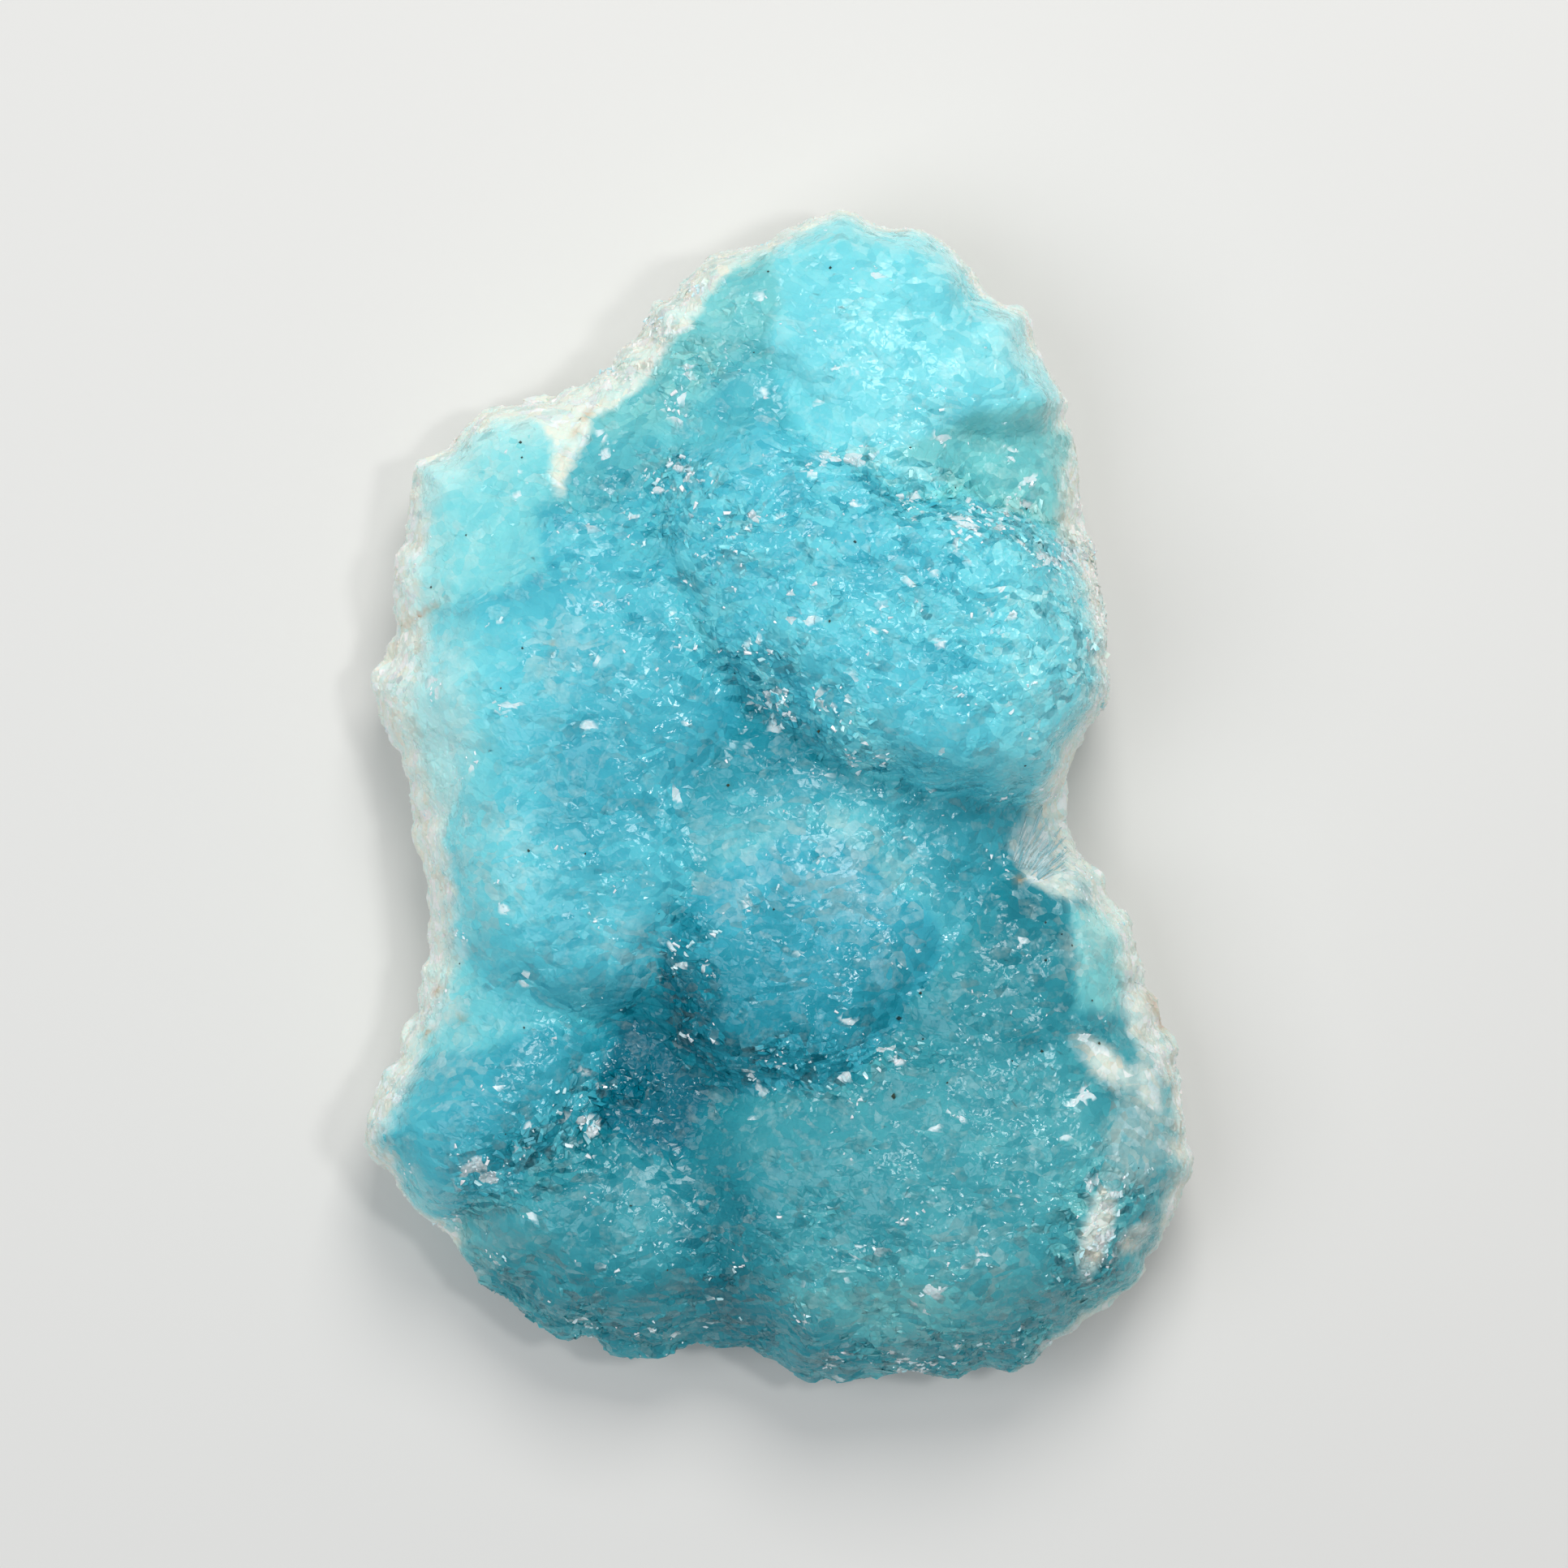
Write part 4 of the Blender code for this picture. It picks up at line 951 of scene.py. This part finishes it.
def makeCrustFinish(name, isSkin):
    f, c = Finish(name), crustFinish
    at = f.place()
    tone, hollow, pale, bare, grain = (f.attribute(a) for a in ("tone", "hollow", "pale", "bare", "grain"))
    rough = f.attribute("sparkle") * c["roughShare"] + (1 - c["roughShare"])
    bend = f.noise(1000 / c["bendSize"], 1, 0.5, at, out="Color")
    jag = f.noise(1000 / c["jagSize"], 1, 0.5, at, out="Color")
    place = f.move(at, "ADD", f.move(bend, "MULTIPLY", [c["bend"] * mm] * 3))
    place = f.move(place, "ADD", f.move(jag, "MULTIPLY", [c["jag"] * mm] * 3))
    place = f.move(place, "MULTIPLY", c["stretch"])
    cells = f.node("ShaderNodeTexVoronoi", None, {"Vector": place, "Scale": 1000 / c["cellSize"]})
    cellColour = Wire(f, cells.socket.node.outputs["Color"])
    away = f.move(place, "SUBTRACT", Wire(f, cells.socket.node.outputs["Position"]))
    lean = f.move(cellColour, "SUBTRACT", (0.5, 0.5, 0.5))
    facet = f.node("ShaderNodeVectorMath", dict(operation="DOT_PRODUCT"), {0: away, 1: lean}, "Value")
    cellTone = f.node("ShaderNodeSeparateColor", None, {0: cellColour})
    cellPale = Wire(f, cellTone.socket.node.outputs[1])
    cellGlint = Wire(f, cellTone.socket.node.outputs[2])
    fine = f.noise(c["fineScale"], 2, 0.6, at)

    level = tone + (cellTone - 0.5) * rough * c["cellTone"] + (fine - 0.5) * c["fineTone"]
    level = level + (cells - c["edgeLevel"]) * rough * c["paintedEdgeLight"]    # painted highlight: lighter to the corners of each facet
    if not isSkin:
        level = level + grain * c["bladeTone"]
    colour = f.mix(f.attribute("green"), f.ramp(c["depths"], level), f.ramp(c["greyer"], level))
    # painted shade in hollows: red taken out for a deeper teal
    colour = f.mix(hollow, colour, (0.0, 0.98, 1.0, 1), "MULTIPLY")

    mottledPale = pale + (fine - 0.5) * 0.4 + (cellPale - 0.5) * 0.25
    isPale = mottledPale.above(c["paleLevel"], c["paleFade"]).high(bare * c["bareShare"])
    paleTone = f.mix(cellPale, hexColour(c["pale"]), hexColour(c["cream"]))
    paleTone = f.mix(cellTone.above(0.75, 0.3), paleTone, hexColour(c["white"]))
    colour = f.mix(isPale * c["paleShare"], colour, paleTone)
    glint = cellGlint + f.attribute("cluster") * c["glintGather"] + (fine - 0.5) * 0.16
    glint = glint.above(c["glintLevel"], c["glintFade"])
    colour = f.mix(glint * c["glintShare"], colour, hexColour(c["glint"]))
    stained = f.attribute("stain") * (cellPale * c["stainVaries"] + c["stainShare"])
    colour = f.mix(stained, colour, hexColour(c["ochre"]))

    roughness = cellPale * c["roughVaries"] + (c["roughness"] - c["roughVaries"] / 2) + isPale * c["paleRough"]
    f.set(Base_Color=colour, IOR=c["ior"], Specular_IOR_Level=c["shine"], Roughness=roughness)
    if isSkin:
        bump = f.node("ShaderNodeBump", None,
                      {"Strength": c["facetStrength"], "Distance": 1.0, "Height": facet * rough})
        f.set(Normal=bump, Subsurface_Weight=c["scatter"], Subsurface_Radius=c["scatterColours"],
              Subsurface_Scale=c["scatterReach"])
    return f.material


grainFinishes = dict(  # low colour, high colour, roughness
    # the glassy flakes' near-white high colour is partly painted glint
    glassyGlintFlake=("B4E6EC", "F8F4F6", 0.15), silverFibre=("78BAC4", "EEF2F0", 0.25),
    darkGrain=("0A2E30", "3A3A1C", 0.4), mottleScale=2600,
)


# a finish whose colour runs from low to high with each crystal's own grain
def makeGrainFinish(name):
    f = Finish(name)
    low, high, roughness = grainFinishes[name]
    grain = f.attribute("grain")
    mottle = f.noise(grainFinishes["mottleScale"], 2, 0.6, f.place())
    f.set(Base_Color=f.mix((grain + (mottle - 0.5) * 0.5).clamped(), hexColour(low), hexColour(high)),
          Roughness=mottle * 0.2 + (roughness - 0.1), IOR=crustFinish["ior"])
    return f.material


crustPiece, face, loop = makeSkin()
crustPiece.data.materials.append(makeCrustFinish("drusyCrust", True))
ground = groundOf(crustPiece)
pieces = [crustPiece] + strewCrystals(crustPiece, face, [
    makeCrustFinish("drusyBlade", False), makeGrainFinish("glassyGlintFlake")])
pieces += [makeFibres(ground), makeGrains(ground, loop)]
pieces[-2].data.materials.append(makeGrainFinish("silverFibre"))
pieces[-1].data.materials.append(makeGrainFinish("darkGrain"))
for piece in pieces:
    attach(piece, "root")
    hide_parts("hemimorphite")
print("crust dressed")


studio = dict(
    floor="DAD9D6", floorSize=2, floorRough=0.6, room=0.33, roomColour=(0.92, 0.95, 1.0, 1),
    lights=[  # name, place, size, power, colour
        ("key", (0.05, 0.26, 0.36), 0.18, 1.05, (1.0, 0.985, 0.96)),
        ("fill", (-0.22, -0.05, 0.42), 0.30, 0.72, (0.95, 0.98, 1.0)),
        ("glint", (0.16, 0.02, 0.44), 0.05, 0.34, (1, 1, 1)),
    ],
    lightTarget=(0, 0, 0.012),
)


def makeFloor():
    mesh = bpy.data.meshes.new("floor")
    half = studio["floorSize"]
    corners = [(-half, -half, 0), (half, -half, 0), (half, half, 0), (-half, half, 0)]
    mesh.from_pydata(corners, [], [(0, 1, 2, 3)])
    floor = bpy.data.objects.new("floor", mesh)
    floor.location.z = cadBox[0].z - 0.0001
    bpy.context.scene.collection.objects.link(floor)
    f = Finish("paleFloor")
    f.set(Base_Color=hexColour(studio["floor"]), Roughness=studio["floorRough"])
    mesh.materials.append(f.material)


def addLight(name, place, size, power, colour):
    light = bpy.data.lights.new(name, "AREA")
    light.size, light.energy, light.color = size, power, colour
    lamp = bpy.data.objects.new(name, light)
    lamp.location = place
    aim = Vector(studio["lightTarget"]) - Vector(place)
    lamp.rotation_euler = aim.to_track_quat("-Z", "Y").to_euler()
    bpy.context.scene.collection.objects.link(lamp)


makeFloor()
for light in studio["lights"]:
    addLight(*light)
world = bpy.data.worlds.new("room")
world.use_nodes = True
background = world.node_tree.nodes["Background"]
background.inputs["Color"].default_value = studio["roomColour"]
background.inputs["Strength"].default_value = studio["room"]
bpy.context.scene.world = world
bpy.context.scene.view_settings.view_transform = "Standard"
print("studio lit")

view = dict(above=0.5, rim=0.008, span=0.1043, x=0.00038, y=0.00084)
camera = bpy.data.objects.new("camera", bpy.data.cameras.new("camera"))
camera.data.sensor_width = 36
camera.data.lens = 18 / math.tan(math.atan(view["span"] / 2 / (view["above"] - view["rim"])))
camera.location = (view["x"], view["y"], view["above"])
bpy.context.scene.collection.objects.link(camera)
bpy.context.scene.camera = camera
